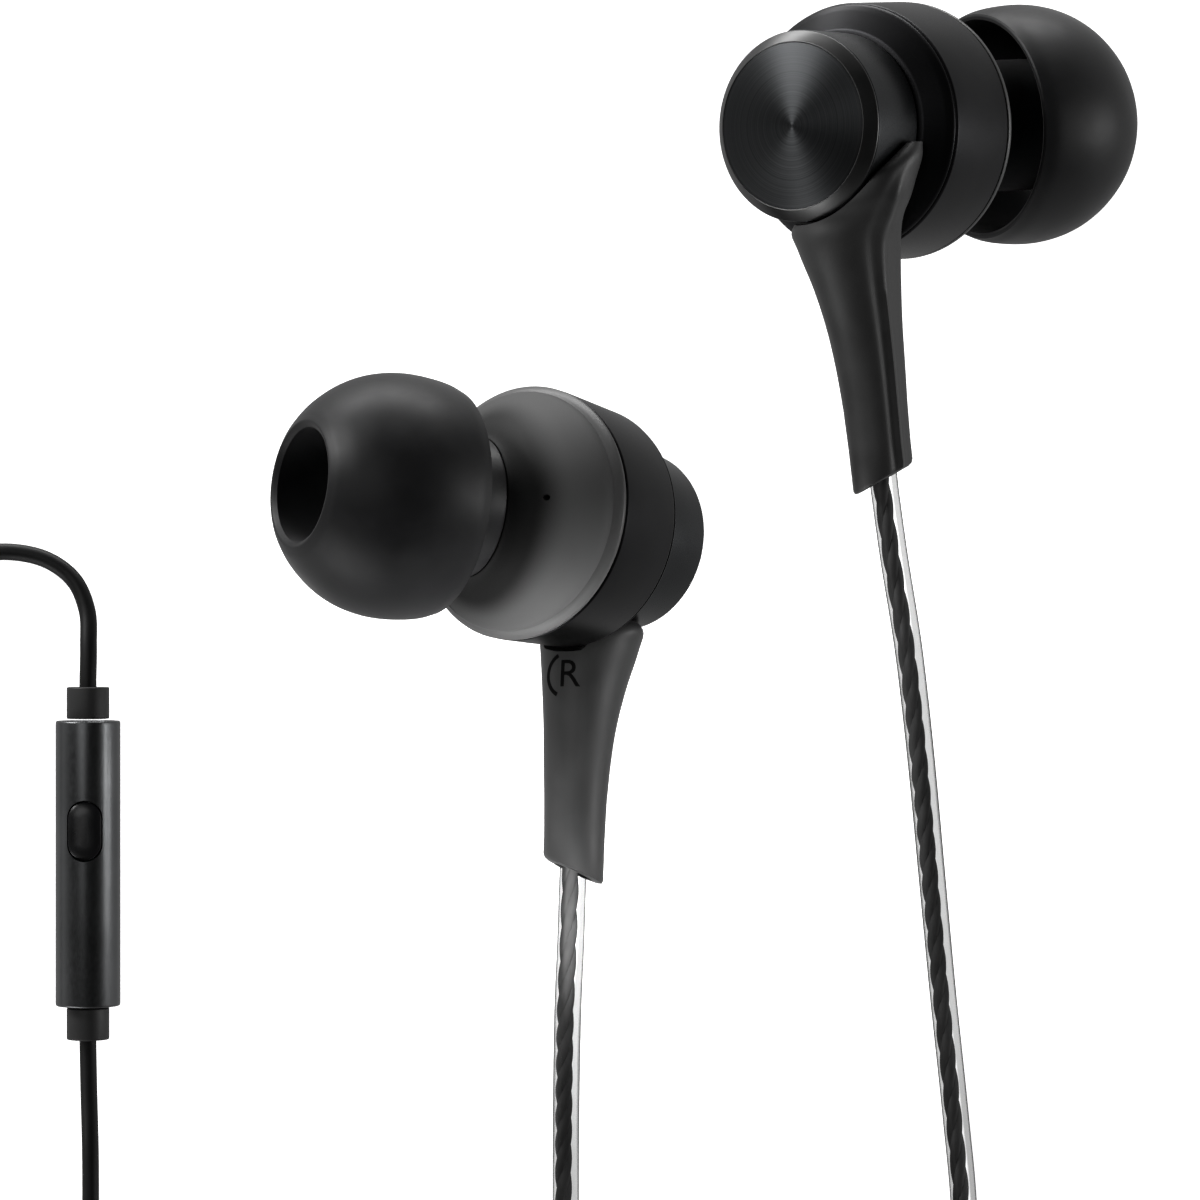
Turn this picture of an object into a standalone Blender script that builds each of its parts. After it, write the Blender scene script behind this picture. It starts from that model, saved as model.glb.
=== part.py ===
"""Wired in-ear headphones: two earpieces, an in-line remote, splitter, plug and stored cord.

The earpieces lie on a table (z = 0) with the cord running from their stems towards -Y.
"""

import math

import bmesh
import bpy
from mathutils import Matrix, Vector

MM = 0.001

# Driving dimensions, in millimetres.
GAP = 0.12                # running gap between rigid pieces of an earpiece
CORD_GAP = 0.3            # gap where a cord solid meets another solid
CORD_DIAMETER = 1.4        # jacketed cords of the earpieces
MAIN_CORD_DIAMETER = 0.9   # cord with the remote and the plug
MAIN_CORD_BORE = MAIN_CORD_DIAMETER / 2 + 0.05

CAP_RADIUS = 4.7
CAP_FACE_RADIUS = 4.2
CAP_BACK = -5.3           # along the housing axis, from the rear seam
CAP_FRONT = -1.22
CAP_WALL = 0.6
HOUSING_REAR_RADIUS = 6.2
HOUSING_RADIUS = 6.5
HOUSING_WALL = 0.7
HOUSING_FRONT = 4.45
RIM_CHAMFER = 0.35

NOZZLE_ANGLE = 23.0       # degrees between the housing axis and the nozzle axis
NOZZLE_PIVOT = 4.2        # where the two axes cross
NECK_RADIUS = 3.55
NECK_END = 4.5            # along the nozzle axis, from the pivot
NOZZLE_RADIUS = 2.35
NOZZLE_BARB = 2.5
NOZZLE_BORE = 1.7
NOZZLE_END = 9.5

TIP_RADIUS = 6.15
TIP_SKIRT = 5.2
TIP_FACE = 12.95
TIP_HOLE = 2.85
TIP_CORE_BORE = 2.56

STEM_END = 17.5
STEM_END_SLOPE = 0.42
WIRE_BORE = 0.8

REMOTE_RADIUS = 1.7
REMOTE_LENGTH = 15.0
REMOTE_WALL = 0.3
COLLAR_RADIUS = 1.12
COLLAR_LENGTH = 1.65
BUTTON_WIDTH = 1.75
BUTTON_LENGTH = 3.1

PLUG_CONTACT_RADIUS = 1.75
PLUG_CONTACT_LENGTH = 14.0
PLUG_BARREL_RADIUS = 2.6
PLUG_BARREL_LENGTH = 11.0
PLUG_RELIEF_LENGTH = 5.0

COIL_BASE = 0.7           # height of a coil's underside, clear of its tie
TIE_WIDTH = 2.4
TIE_WALL = 0.35

# Where things lie, in millimetres. Each earpiece's place is its rear seam's centre.
LEFT_PLACE = (6.85, 15.55, 13.6)
LEFT_AXIS = (0.585, 0.061, -0.809)
LEFT_STEM = (0.113, -0.99)
RIGHT_PLACE = (-6.85, -4.25, 6.78)
RIGHT_AXIS = (-0.592, 0.142, 0.793)
RIGHT_STEM = (-0.035, -0.99)
REMOTE_PLACE = (-32.6, -21.85, 1.72)
SPLITTER_PLACE = (-19.2, -68.8, 1.4)
PLUG_PLACE = (-10.4, -58.6, 7.8)
COIL_Y = -53.0
COIL_LEFT = (23.05, 8.0, 3, 2, CORD_DIAMETER)       # centre x, middle radius, columns, layers, pitch
COIL_RIGHT = (1.95, 8.0, 3, 3, CORD_DIAMETER)
COIL_MAIN = (-25.4, 5.4, 5, 4, MAIN_CORD_DIAMETER)

# Strain relief sections: distance down the stem, centre and half sizes along the
# housing axis and across it.
STEM_SECTIONS = (
    (1.5, -1.9, 4.75, 0.5, 0.40),
    (2.2, -2.3, 4.30, 1.1, 0.85),
    (3.0, -2.7, 3.40, 1.75, 1.50),
    (4.0, -2.9, 2.00, 2.1, 2.60),
    (4.9, -2.8, 1.00, 2.2, 3.00),
    (6.0, -2.4, 0.70, 2.6, 2.55),
    (8.0, -2.0, 0.65, 2.35, 2.10),
    (10.0, -1.7, 0.60, 2.0, 1.85),
    (12.0, -1.5, 0.55, 1.8, 1.70),
    (14.0, -1.4, 0.50, 1.65, 1.60),
    (19.0, -1.35, 0.45, 1.6, 1.55),
)
STEM_TAIL_CENTRE = (-1.35, 0.45)

# Cord routes, in millimetres, from exit to far end.
LEFT_LEAD = (
    (8.95, -6.0, 15.2), (9.75, -10.5, 13.9), (10.6, -16.0, 10.6), (11.45, -22.0, 6.4),
    (12.3, -28.5, 2.9), (13.1, -35.0, 1.1), (13.6, -40.5, 0.85), (13.65, -47.5, 1.4),
)
LEFT_TAIL = (
    (13.65, -58.5, 2.0), (13.0, -62.5, 1.0), (10.6, -66.8, 0.75), (6.0, -69.4, 0.75),
    (0.0, -70.0, 0.75), (-7.0, -69.8, 0.9), (-14.1, -69.6, 1.4),
)
RIGHT_LEAD = (
    (-7.15, -25.6, 8.7), (-7.3, -29.0, 7.7), (-7.4, -33.5, 4.7), (-7.45, -38.0, 1.95),
    (-7.45, -42.5, 0.95), (-7.45, -47.5, 1.4),
)
RIGHT_TAIL = (
    (-7.45, -58.5, 2.6), (-7.8, -61.5, 1.3), (-9.2, -65.0, 0.85), (-11.3, -67.3, 1.0),
    (-14.1, -68.0, 1.4),
)
REMOTE_UPPER = (
    (-32.6, -12.2, 1.72), (-32.6, -10.4, 1.5), (-32.75, -8.5, 0.95), (-33.6, -6.8, 0.6),
    (-35.4, -5.7, 0.5), (-38.0, -5.5, 0.5), (-40.7, -6.5, 0.5), (-42.3, -9.2, 0.5),
    (-42.9, -14.0, 0.5), (-42.9, -28.0, 0.5), (-42.9, -44.0, 0.5), (-42.6, -58.0, 0.5),
    (-41.0, -64.5, 0.5), (-36.8, -68.1, 0.55), (-31.5, -68.8, 1.0), (-27.5, -68.8, 1.4),
)
REMOTE_LOWER = (
    (-32.6, -31.5, 1.72), (-32.6, -34.0, 1.3), (-32.6, -37.5, 0.6), (-32.6, -42.0, 0.6),
    (-32.6, -47.5, 1.15),
)
PLUG_LEAD = (
    (-21.6, -60.1, 5.4), (-18.5, -59.9, 6.0), (-15.5, -59.3, 6.9), (-13.0, -58.8, 7.5),
    (-10.7, -58.6, 7.8),
)


def clear_scene():
    """Remove the objects that the file opened with."""
    for old in list(bpy.data.objects):
        bpy.data.objects.remove(old, do_unlink=True)


def material(name, colour, roughness, metallic=0.0):
    """Return a Principled material, made once for each name."""
    found = bpy.data.materials.get(name)
    if found:
        return found
    made = bpy.data.materials.new(name)
    made.use_nodes = True
    shader = made.node_tree.nodes["Principled BSDF"]
    shader.inputs["Base Color"].default_value = (*colour, 1.0)
    shader.inputs["Roughness"].default_value = roughness
    shader.inputs["Metallic"].default_value = metallic
    return made


def finish_mesh(name, mesh, finish, parent=None):
    """Turn a bmesh in millimetres into a named object in metres, with outward faces."""
    bmesh.ops.recalc_face_normals(mesh, faces=mesh.faces)
    bmesh.ops.scale(mesh, vec=(MM, MM, MM), verts=mesh.verts)
    data = bpy.data.meshes.new(name)
    mesh.to_mesh(data)
    mesh.free()
    data.materials.append(finish)
    made = bpy.data.objects.new(name, data)
    bpy.context.collection.objects.link(made)
    made.parent = parent
    return made


def frame_empty(name, place, rotation, parent=None):
    """Add an empty that holds the pieces of one sub-assembly, place in millimetres."""
    made = bpy.data.objects.new(name, None)
    bpy.context.collection.objects.link(made)
    made.parent = parent
    made.matrix_local = Matrix.Translation(Vector(place) * MM) @ rotation.to_4x4()
    return made


def ring_of_points(mesh, centre, axis_u, axis_v, radius, sides):
    """Add one ring of vertices, or a single one at radius zero."""
    if radius < 1e-6:
        return [mesh.verts.new(centre)]
    step = 2 * math.pi / sides
    return [
        mesh.verts.new(centre + axis_u * (radius * math.cos(i * step)) + axis_v * (radius * math.sin(i * step)))
        for i in range(sides)
    ]


def bridge(mesh, first, second):
    """Join two rings of vertices with faces; either ring may be a single vertex."""
    count = max(len(first), len(second))
    if count == 1:
        return
    for i in range(count):
        j = (i + 1) % count
        corners = [first[i % len(first)], first[j % len(first)], second[j % len(second)], second[i % len(second)]]
        unique = list(dict.fromkeys(corners))
        mesh.faces.new(unique)


def turned(name, outline, finish, parent=None, sides=40, axis="Z", closed=True):
    """Turn an outline of (radius, height) points about an axis of the parent's frame."""
    mesh = bmesh.new()
    axes = {
        "Z": (Vector((1, 0, 0)), Vector((0, 1, 0)), Vector((0, 0, 1))),
        "Y": (Vector((0, 0, 1)), Vector((1, 0, 0)), Vector((0, 1, 0))),
        "X": (Vector((0, 1, 0)), Vector((0, 0, 1)), Vector((1, 0, 0))),
    }
    across, over, along = axes[axis]
    rings = [ring_of_points(mesh, along * height, across, over, radius, sides) for radius, height in outline]
    for first, second in zip(rings, rings[1:]):
        bridge(mesh, first, second)
    if closed and len(rings[0]) > 1:
        bridge(mesh, rings[-1], rings[0])
    return finish_mesh(name, mesh, finish, parent)


def ring_outline(inner, outer, low, high):
    """Return the outline of a plain ring."""
    return [(inner, low), (outer, low), (outer, high), (inner, high)]


def disc_outline(radius, low, high):
    """Return the outline of a plain disc."""
    return [(0, low), (radius, low), (radius, high), (0, high)]


def block(name, low, high, finish, parent=None, bevel=0.0):
    """Add a box between two corners, with its edges rounded if asked."""
    mesh = bmesh.new()
    size = Vector(high) - Vector(low)
    middle = (Vector(high) + Vector(low)) / 2
    bmesh.ops.create_cube(mesh, size=1.0, matrix=Matrix.Translation(middle) @ Matrix.Diagonal((*size, 1.0)))
    if bevel:
        bmesh.ops.bevel(
            mesh, geom=mesh.edges[:], offset=bevel, segments=3, profile=0.5, affect="EDGES", clamp_overlap=True
        )
    return finish_mesh(name, mesh, finish, parent)


def cut(target, cutter):
    """Subtract a hidden cutter object from a target."""
    cutter.hide_render = True
    cutter.display_type = "WIRE"
    modifier = target.modifiers.new("cut_" + cutter.name, "BOOLEAN")
    modifier.operation = "DIFFERENCE"
    modifier.solver = "EXACT"
    modifier.object = cutter


def build_rear_cap(side, frame):
    """Spun aluminium cup that closes the back, with a hole for the wires in its wall."""
    inner = CAP_RADIUS - CAP_WALL
    outline = [
        (0, CAP_BACK), (CAP_FACE_RADIUS, CAP_BACK), (CAP_RADIUS, CAP_BACK + 0.5), (CAP_RADIUS, CAP_FRONT),
        (inner, CAP_FRONT), (inner, CAP_BACK + CAP_WALL), (0, CAP_BACK + CAP_WALL),
    ]
    finish = material("cap_spun_aluminium", (0.16, 0.17, 0.18), 0.3, 1.0)
    cap = turned(side + "_rear_cap", outline, finish, frame, sides=40, closed=False)
    hole = turned(
        side + "_wire_hole_cutter", disc_outline(WIRE_BORE, 3.0, 6.5), finish, frame, sides=16, axis="Y", closed=False
    )
    hole.location = Vector((STEM_TAIL_CENTRE[1], 0, STEM_TAIL_CENTRE[0] - 1.3)) * MM
    cut(cap, hole)


def build_housing(side, frame):
    """Rear cone and middle band of the housing."""
    black = material("housing_black_aluminium", (0.05, 0.055, 0.06), 0.35, 0.9)
    inner = CAP_RADIUS - CAP_WALL
    cone = [
        (inner, CAP_FRONT + GAP), (CAP_RADIUS, CAP_FRONT + GAP), (HOUSING_REAR_RADIUS, -GAP / 2),
        (HOUSING_REAR_RADIUS - HOUSING_WALL, -GAP / 2), (inner, CAP_FRONT + GAP + 0.5),
    ]
    turned(side + "_rear_shell", cone, black, frame, sides=40)
    band = [
        (HOUSING_REAR_RADIUS - HOUSING_WALL, GAP / 2), (HOUSING_REAR_RADIUS, GAP / 2),
        (HOUSING_RADIUS, HOUSING_FRONT), (HOUSING_RADIUS - HOUSING_WALL, HOUSING_FRONT),
    ]
    turned(side + "_mid_housing", band, black, frame, sides=40)


def tilted_ring(mesh, tilt_degrees, along, radius, sides):
    """Add a ring of the front housing, part way round from the housing axis to the nozzle axis."""
    tilt = math.radians(tilt_degrees)
    direction = Vector((math.sin(tilt), 0, math.cos(tilt)))
    across = Vector((math.cos(tilt), 0, -math.sin(tilt)))
    centre = Vector((0, 0, NOZZLE_PIVOT)) + direction * along
    return ring_of_points(mesh, centre, across, Vector((0, 1, 0)), radius, sides)


def build_front_housing(side, frame):
    """Domed front with its chamfered rim, carried into the neck and the angled nozzle."""
    tilt = NOZZLE_ANGLE
    rim = HOUSING_FRONT + GAP - NOZZLE_PIVOT
    rings = [
        (0, rim, HOUSING_RADIUS), (0, rim + 0.2, HOUSING_RADIUS), (0, rim + 0.2 + RIM_CHAMFER, HOUSING_RADIUS - 0.25),
        (0.22 * tilt, rim + 0.95, 5.95), (0.5 * tilt, rim + 1.45, 5.35), (0.8 * tilt, rim + 2.05, 4.55),
        (tilt, rim + 2.5, NECK_RADIUS + 0.3), (tilt, rim + 2.75, NECK_RADIUS), (tilt, NECK_END, NECK_RADIUS),
        (tilt, NECK_END, NOZZLE_RADIUS), (tilt, NOZZLE_END - 1.1, NOZZLE_RADIUS),
        (tilt, NOZZLE_END - 1.0, NOZZLE_BARB), (tilt, NOZZLE_END, NOZZLE_RADIUS),
        (tilt, NOZZLE_END, NOZZLE_BORE), (tilt, rim + 2.2, NOZZLE_BORE), (0.7 * tilt, rim + 1.2, 4.2),
        (0.2 * tilt, rim + 0.55, 5.4), (0, rim, HOUSING_RADIUS - HOUSING_WALL),
    ]
    mesh = bmesh.new()
    loops = [tilted_ring(mesh, angle, along, radius, 36) for angle, along, radius in rings]
    for first, second in zip(loops, loops[1:] + loops[:1]):
        bridge(mesh, first, second)
    finish = material("front_satin_grey", (0.08, 0.085, 0.09), 0.42, 0.6)
    front = finish_mesh(side + "_front_housing", mesh, finish, frame)
    vent = turned(side + "_vent_cutter", disc_outline(0.16, 4.0, 9.0), finish, frame, sides=12, closed=False)
    vent.location = Vector((-3.9, 0, 0)) * MM
    cut(front, vent)


def build_tip(side, nozzle):
    """Silicone ear tip and the mesh across the nozzle's mouth, both on the nozzle's axis."""
    skirt = TIP_SKIRT
    outline = [
        (5.72, skirt), (6.0, skirt + 0.85), (TIP_RADIUS, skirt + 2.2), (6.1, skirt + 3.4), (5.82, skirt + 4.6),
        (5.3, skirt + 5.7), (4.55, skirt + 6.7), (3.75, skirt + 7.4), (3.2, TIP_FACE), (TIP_HOLE, TIP_FACE - 0.15),
        (TIP_HOLE - 0.05, NOZZLE_END + 0.4), (TIP_CORE_BORE, NOZZLE_END + 0.1),
        (TIP_CORE_BORE, NECK_END + 0.2), (3.35, NECK_END + 0.2), (3.4, 10.7), (3.85, 11.3), (4.5, 11.1), (5.15, 10.3),
        (5.55, 9.1), (5.72, 7.7), (5.62, 6.3), (5.42, skirt + 0.05),
    ]
    silicone = material("tip_silicone", (0.05, 0.05, 0.055), 0.5)
    turned(side + "_ear_tip", outline, silicone, nozzle, sides=32)
    mesh_finish = material("nozzle_steel_mesh", (0.35, 0.36, 0.38), 0.4, 1.0)
    disc = disc_outline(NOZZLE_BORE - GAP / 2, NOZZLE_END - 0.45, NOZZLE_END - 0.2)
    turned(side + "_nozzle_mesh", disc, mesh_finish, nozzle, sides=24, closed=False)


def build_driver(side, frame):
    """Moving-coil driver: frame, yoke, magnet, voice coil and diaphragm, with the terminal board."""
    steel = material("driver_steel", (0.45, 0.46, 0.48), 0.35, 1.0)
    plastic = material("driver_plastic", (0.04, 0.04, 0.045), 0.5)
    basket = [
        (3.15, 1.6), (4.4, 1.6), (5.3, 2.6), (5.3, 4.1), (4.95, 4.1), (4.95, 3.1), (4.1, 2.1), (3.15, 2.1),
    ]
    turned(side + "_driver_frame", basket, plastic, frame, sides=24)
    yoke = [(0, 0.5), (3.0, 0.5), (3.0, 2.5), (2.5, 2.5), (2.5, 1.0), (0, 1.0)]
    turned(side + "_yoke", yoke, steel, frame, sides=22, closed=False)
    turned(side + "_magnet", disc_outline(1.8, 1.0 + GAP, 2.5), material("magnet_nickel", (0.6, 0.6, 0.62), 0.25, 1.0),
           frame, sides=24, closed=False)
    copper = material("coil_copper", (0.55, 0.25, 0.1), 0.4, 1.0)
    turned(side + "_voice_coil", ring_outline(2.02, 2.24, 1.7, 3.3), copper, frame, sides=22)
    film = [
        (0, 3.95), (1.2, 3.8), (2.1, 3.5), (2.9, 3.75), (3.7, 3.9), (4.4, 3.75), (4.8, 3.5), (4.8, 3.38),
        (4.4, 3.6), (3.7, 3.76), (2.9, 3.6), (2.1, 3.36), (1.2, 3.66), (0, 3.8),
    ]
    turned(side + "_diaphragm", film, material("diaphragm_film", (0.5, 0.5, 0.52), 0.3), frame, sides=22, closed=False)
    board = material("circuit_board", (0.03, 0.12, 0.06), 0.5)
    turned(side + "_terminal_board", disc_outline(3.6, -0.4, 0.0), board, frame, sides=22, closed=False)


def build_stem(side, frame):
    """Rubber strain relief: a saddle under the cap that narrows to the cord, and the crimp inside."""
    mesh = bmesh.new()
    sides = 24
    loops = []
    for down, along, across, half_along, half_across in STEM_SECTIONS:
        loop = []
        for i in range(sides):
            angle = 2 * math.pi * i / sides
            x = across + half_across * math.cos(angle)
            z = along + half_along * math.sin(angle)
            y = down
            if down > STEM_END:
                y = STEM_END - STEM_END_SLOPE * (0.56 * z + 0.82 * x)
            loop.append(mesh.verts.new((x, y, z)))
        loops.append(loop)
    for first, second in zip(loops, loops[1:]):
        bridge(mesh, first, second)
    mesh.faces.new(loops[0])
    mesh.faces.new(loops[-1])
    rubber = material("stem_tpe", (0.11, 0.115, 0.12), 0.55)
    stem = finish_mesh(side + "_strain_relief", mesh, rubber, frame)
    saddle = [(0, -7.0), (CAP_RADIUS + 0.2, -7.0), (CAP_RADIUS + 0.2, CAP_FRONT + 0.05),
              (HOUSING_REAR_RADIUS + 0.25, -0.05), (HOUSING_RADIUS + 0.3, 2.5), (0, 2.5)]
    cut(stem, turned(side + "_saddle_cutter", saddle, rubber, frame, sides=40, closed=False))
    bore = turned(side + "_wire_bore_cutter", disc_outline(WIRE_BORE, 2.0, 22.0), rubber, frame, sides=16, axis="Y",
                  closed=False)
    bore.location = Vector((STEM_TAIL_CENTRE[1], 0, STEM_TAIL_CENTRE[0])) * MM
    cut(stem, bore)
    brass = material("crimp_brass", (0.6, 0.45, 0.2), 0.35, 1.0)
    crimp = turned(side + "_cord_crimp", ring_outline(0.45, 1.0, 1.6, 3.4), brass, frame, sides=20, axis="Y")
    crimp.location = Vector((STEM_TAIL_CENTRE[1], 0, STEM_TAIL_CENTRE[0] - 1.3)) * MM


def earpiece_rotation(axis, stem):
    """Return the rotation whose Z is the housing axis and Y runs down the stem."""
    along = Vector(axis).normalized()
    down_z = -(along.x * stem[0] + along.y * stem[1]) / along.z
    down = Vector((stem[0], stem[1], down_z)).normalized()
    across = down.cross(along).normalized()
    return Matrix((across, down, along)).transposed()


def build_earpiece(side, place, axis, stem):
    """Build one earpiece and return where its cord leaves the stem; both have the same hand."""
    rotation = earpiece_rotation(axis, stem)
    frame = frame_empty(side + "_earpiece", place, rotation)
    tilt = Matrix.Rotation(math.radians(NOZZLE_ANGLE), 3, "Y")
    nozzle = frame_empty(side + "_nozzle_frame", (0, 0, NOZZLE_PIVOT), tilt, frame)
    build_rear_cap(side, frame)
    build_housing(side, frame)
    build_front_housing(side, frame)
    build_tip(side, nozzle)
    build_driver(side, frame)
    build_stem(side, frame)
    return Vector(place) + rotation @ Vector((STEM_TAIL_CENTRE[1], STEM_END + 0.9, STEM_TAIL_CENTRE[0]))


def smooth_route(points, spacing=3.2):
    """Read evenly spaced points from a Catmull-Rom curve through a route."""
    route = [Vector(p) for p in points]
    padded = [route[0] * 2 - route[1]] + route + [route[-1] * 2 - route[-2]]
    dense = []
    for a, b, c, d in zip(padded, padded[1:], padded[2:], padded[3:]):
        for i in range(20):
            t = i / 20
            dense.append(0.5 * (2 * b + (c - a) * t + (2 * a - 5 * b + 4 * c - d) * t * t
                                + (3 * b - a - 3 * c + d) * t * t * t))
    dense.append(route[-1])
    length = sum((q - p).length for p, q in zip(dense, dense[1:]))
    count = max(2, round(length / spacing))
    even = [dense[0]]
    travelled = 0.0
    for p, q in zip(dense, dense[1:]):
        step = (q - p).length
        while len(even) < count and travelled + step >= length * len(even) / count:
            part = (length * len(even) / count - travelled) / step
            even.append(p.lerp(q, part))
        travelled += step
    even.append(dense[-1])
    return even


def cord_tube(name, route, finish, diameter=CORD_DIAMETER):
    """Add a plain tube along a cord's free stretch."""
    curve = bpy.data.curves.new(name, "CURVE")
    curve.dimensions = "3D"
    curve.bevel_depth = diameter / 2 * MM
    curve.bevel_resolution = 2
    curve.use_fill_caps = True
    spline = curve.splines.new("POLY")
    points = smooth_route(route)
    spline.points.add(len(points) - 1)
    for target, source in zip(spline.points, points):
        target.co = (*(source * MM), 1.0)
    curve.materials.append(finish)
    made = bpy.data.objects.new(name, curve)
    bpy.context.collection.objects.link(made)


def coil_outline(columns, layers, middle, pitch):
    """Return a coil's round-cornered section: radii and heights."""
    half = columns * pitch / 2
    low = COIL_BASE
    high = COIL_BASE + layers * pitch
    soft = pitch * 0.4
    return [
        (middle - half + soft, low), (middle + half - soft, low), (middle + half, low + soft),
        (middle + half, high - soft), (middle + half - soft, high), (middle - half + soft, high),
        (middle - half, high - soft), (middle - half, low + soft),
    ]


def coil_and_tie(name, coil, finish, tie_angle):
    """Add the turned ring of one stored coil, and the hook-and-loop tie round it."""
    centre_x, middle, columns, layers, pitch = coil
    ring = turned(name + "_coil", coil_outline(columns, layers, middle, pitch), finish, sides=32)
    ring.location = Vector((centre_x, COIL_Y, 0)) * MM
    inner_x = columns * pitch / 2 + CORD_GAP
    inner_low = COIL_BASE - CORD_GAP
    inner_high = COIL_BASE + layers * pitch + CORD_GAP
    strap = material("tie_nylon", (0.04, 0.04, 0.045), 0.7)
    mesh = bmesh.new()
    loops = []
    for half_width in (-TIE_WIDTH / 2, TIE_WIDTH / 2):
        for wall in (TIE_WALL, 0.0):
            corners = (
                (-inner_x - wall, inner_low - wall), (inner_x + wall, inner_low - wall),
                (inner_x + wall, inner_high + wall), (-inner_x - wall, inner_high + wall),
            )
            loops.append([mesh.verts.new((middle + x, half_width, z)) for x, z in corners])
    outer_back, inner_back, outer_front, inner_front = loops
    for first, second in ((outer_back, outer_front), (outer_front, inner_front), (inner_front, inner_back),
                          (inner_back, outer_back)):
        bridge(mesh, first, second)
    tie = finish_mesh(name + "_tie", mesh, strap)
    tie.location = ring.location
    tie.rotation_euler = (0, 0, math.radians(tie_angle))


def build_cords(left_exit, right_exit):
    """Add the tubes, coils and ties of the four cords."""
    jacket = material("cord_clear_jacket", (0.12, 0.12, 0.13), 0.25)
    left_start = left_exit + (Vector(LEFT_LEAD[0]) - left_exit).normalized() * CORD_GAP
    right_start = right_exit + (Vector(RIGHT_LEAD[0]) - right_exit).normalized() * CORD_GAP
    cord_tube("left_cord_lead", (left_start, *LEFT_LEAD), jacket)
    cord_tube("left_cord_tail", LEFT_TAIL, jacket)
    cord_tube("right_cord_lead", (right_start, *RIGHT_LEAD), jacket)
    cord_tube("right_cord_tail", RIGHT_TAIL, jacket)
    black = material("cord_black_jacket", (0.02, 0.02, 0.022), 0.4)
    cord_tube("main_cord_upper", REMOTE_UPPER, black, MAIN_CORD_DIAMETER)
    cord_tube("main_cord_lower", REMOTE_LOWER, black, MAIN_CORD_DIAMETER)
    cord_tube("main_cord_plug_lead", PLUG_LEAD, black, MAIN_CORD_DIAMETER)
    coil_and_tie("left_cord", COIL_LEFT, jacket, -20)
    coil_and_tie("right_cord", COIL_RIGHT, jacket, 60)
    coil_and_tie("main_cord", COIL_MAIN, black, 80)


def arched_prism(width, length, depth, top_z, arch_sides=6):
    """Return a bmesh of a pad with round ends, standing downwards from top_z."""
    mesh = bmesh.new()
    half = width / 2
    straight = length / 2 - half
    outline = []
    for end, start in ((1, 0.0), (-1, math.pi)):
        for i in range(arch_sides + 1):
            angle = start + math.pi * i / arch_sides
            outline.append((half * math.cos(angle), end * straight + half * math.sin(angle)))
    lower = [mesh.verts.new((x, y, top_z - depth)) for x, y in outline]
    upper = [mesh.verts.new((x, y, top_z)) for x, y in outline]
    bridge(mesh, lower, upper)
    mesh.faces.new(lower)
    mesh.faces.new(upper)
    return mesh


def build_remote():
    """In-line remote: tube, collars, button, switch, board and microphone."""
    frame = frame_empty("remote_frame", REMOTE_PLACE, Matrix.Identity(3))
    half = REMOTE_LENGTH / 2
    inner = REMOTE_RADIUS - REMOTE_WALL
    black = material("remote_black_aluminium", (0.045, 0.05, 0.055), 0.35, 0.9)
    soft = 0.18
    outline = [
        (inner, -half), (REMOTE_RADIUS - soft, -half), (REMOTE_RADIUS, -half + soft),
        (REMOTE_RADIUS, half - soft), (REMOTE_RADIUS - soft, half), (inner, half),
    ]
    shell = turned("remote_shell", outline, black, frame, sides=32, axis="Y")
    button_y = 1.75
    slot = finish_mesh("remote_slot_cutter", arched_prism(BUTTON_WIDTH + 0.16, BUTTON_LENGTH + 0.16, 2.0, 2.4), black,
                       frame)
    slot.location = Vector((0, button_y, 0)) * MM
    cut(shell, slot)
    mic_hole = turned("remote_mic_cutter", disc_outline(0.16, -2.0, -1.0), black, frame, sides=12, closed=False)
    mic_hole.location = Vector((0, -4.2, 0)) * MM
    cut(shell, mic_hole)
    rubber = material("collar_rubber", (0.2, 0.2, 0.21), 0.5)
    for end, name in ((1, "remote_upper_collar"), (-1, "remote_lower_collar")):
        start = end * (half + GAP)
        stop = end * (half + GAP + COLLAR_LENGTH)
        ring = [
            (MAIN_CORD_BORE, start), (COLLAR_RADIUS, start), (COLLAR_RADIUS, stop - end * 0.12),
            (COLLAR_RADIUS - 0.12, stop), (MAIN_CORD_BORE, stop),
        ]
        turned(name, ring, rubber, frame, sides=24, axis="Y")
    button = finish_mesh("remote_button", arched_prism(BUTTON_WIDTH, BUTTON_LENGTH, 0.72, 1.68),
                         material("button_plastic", (0.02, 0.02, 0.022), 0.4), frame)
    button.location = slot.location
    block("remote_board", (-1.0, -6.0, -0.35), (1.0, 6.0, 0.05), material("circuit_board", (0.03, 0.12, 0.06), 0.5),
          frame)
    block("remote_switch", (-0.6, button_y - 0.6, 0.05 + GAP), (0.6, button_y + 0.6, 0.68),
          material("switch_steel", (0.6, 0.6, 0.62), 0.3, 1.0), frame)
    microphone = turned("remote_microphone", disc_outline(0.6, -1.0, -0.5),
                        material("switch_steel", (0.6, 0.6, 0.62), 0.3, 1.0), frame, sides=20, closed=False)
    microphone.location = mic_hole.location


def build_splitter():
    """Block where the two earpiece cords join the main cord, and the boot on its main side."""
    frame = frame_empty("splitter_frame", SPLITTER_PLACE, Matrix.Identity(3))
    grey = material("splitter_plastic", (0.05, 0.05, 0.055), 0.45)
    block("splitter_shell", (-4.6, -2.2, -1.38), (4.6, 2.2, 1.38), grey, frame, bevel=0.5)
    boot = [(MAIN_CORD_BORE, -7.9), (1.0, -7.9), (1.3, -4.6 - GAP), (MAIN_CORD_BORE, -4.6 - GAP)]
    turned("splitter_boot", boot, material("collar_rubber", (0.2, 0.2, 0.21), 0.5), frame, sides=24, axis="X")


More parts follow.
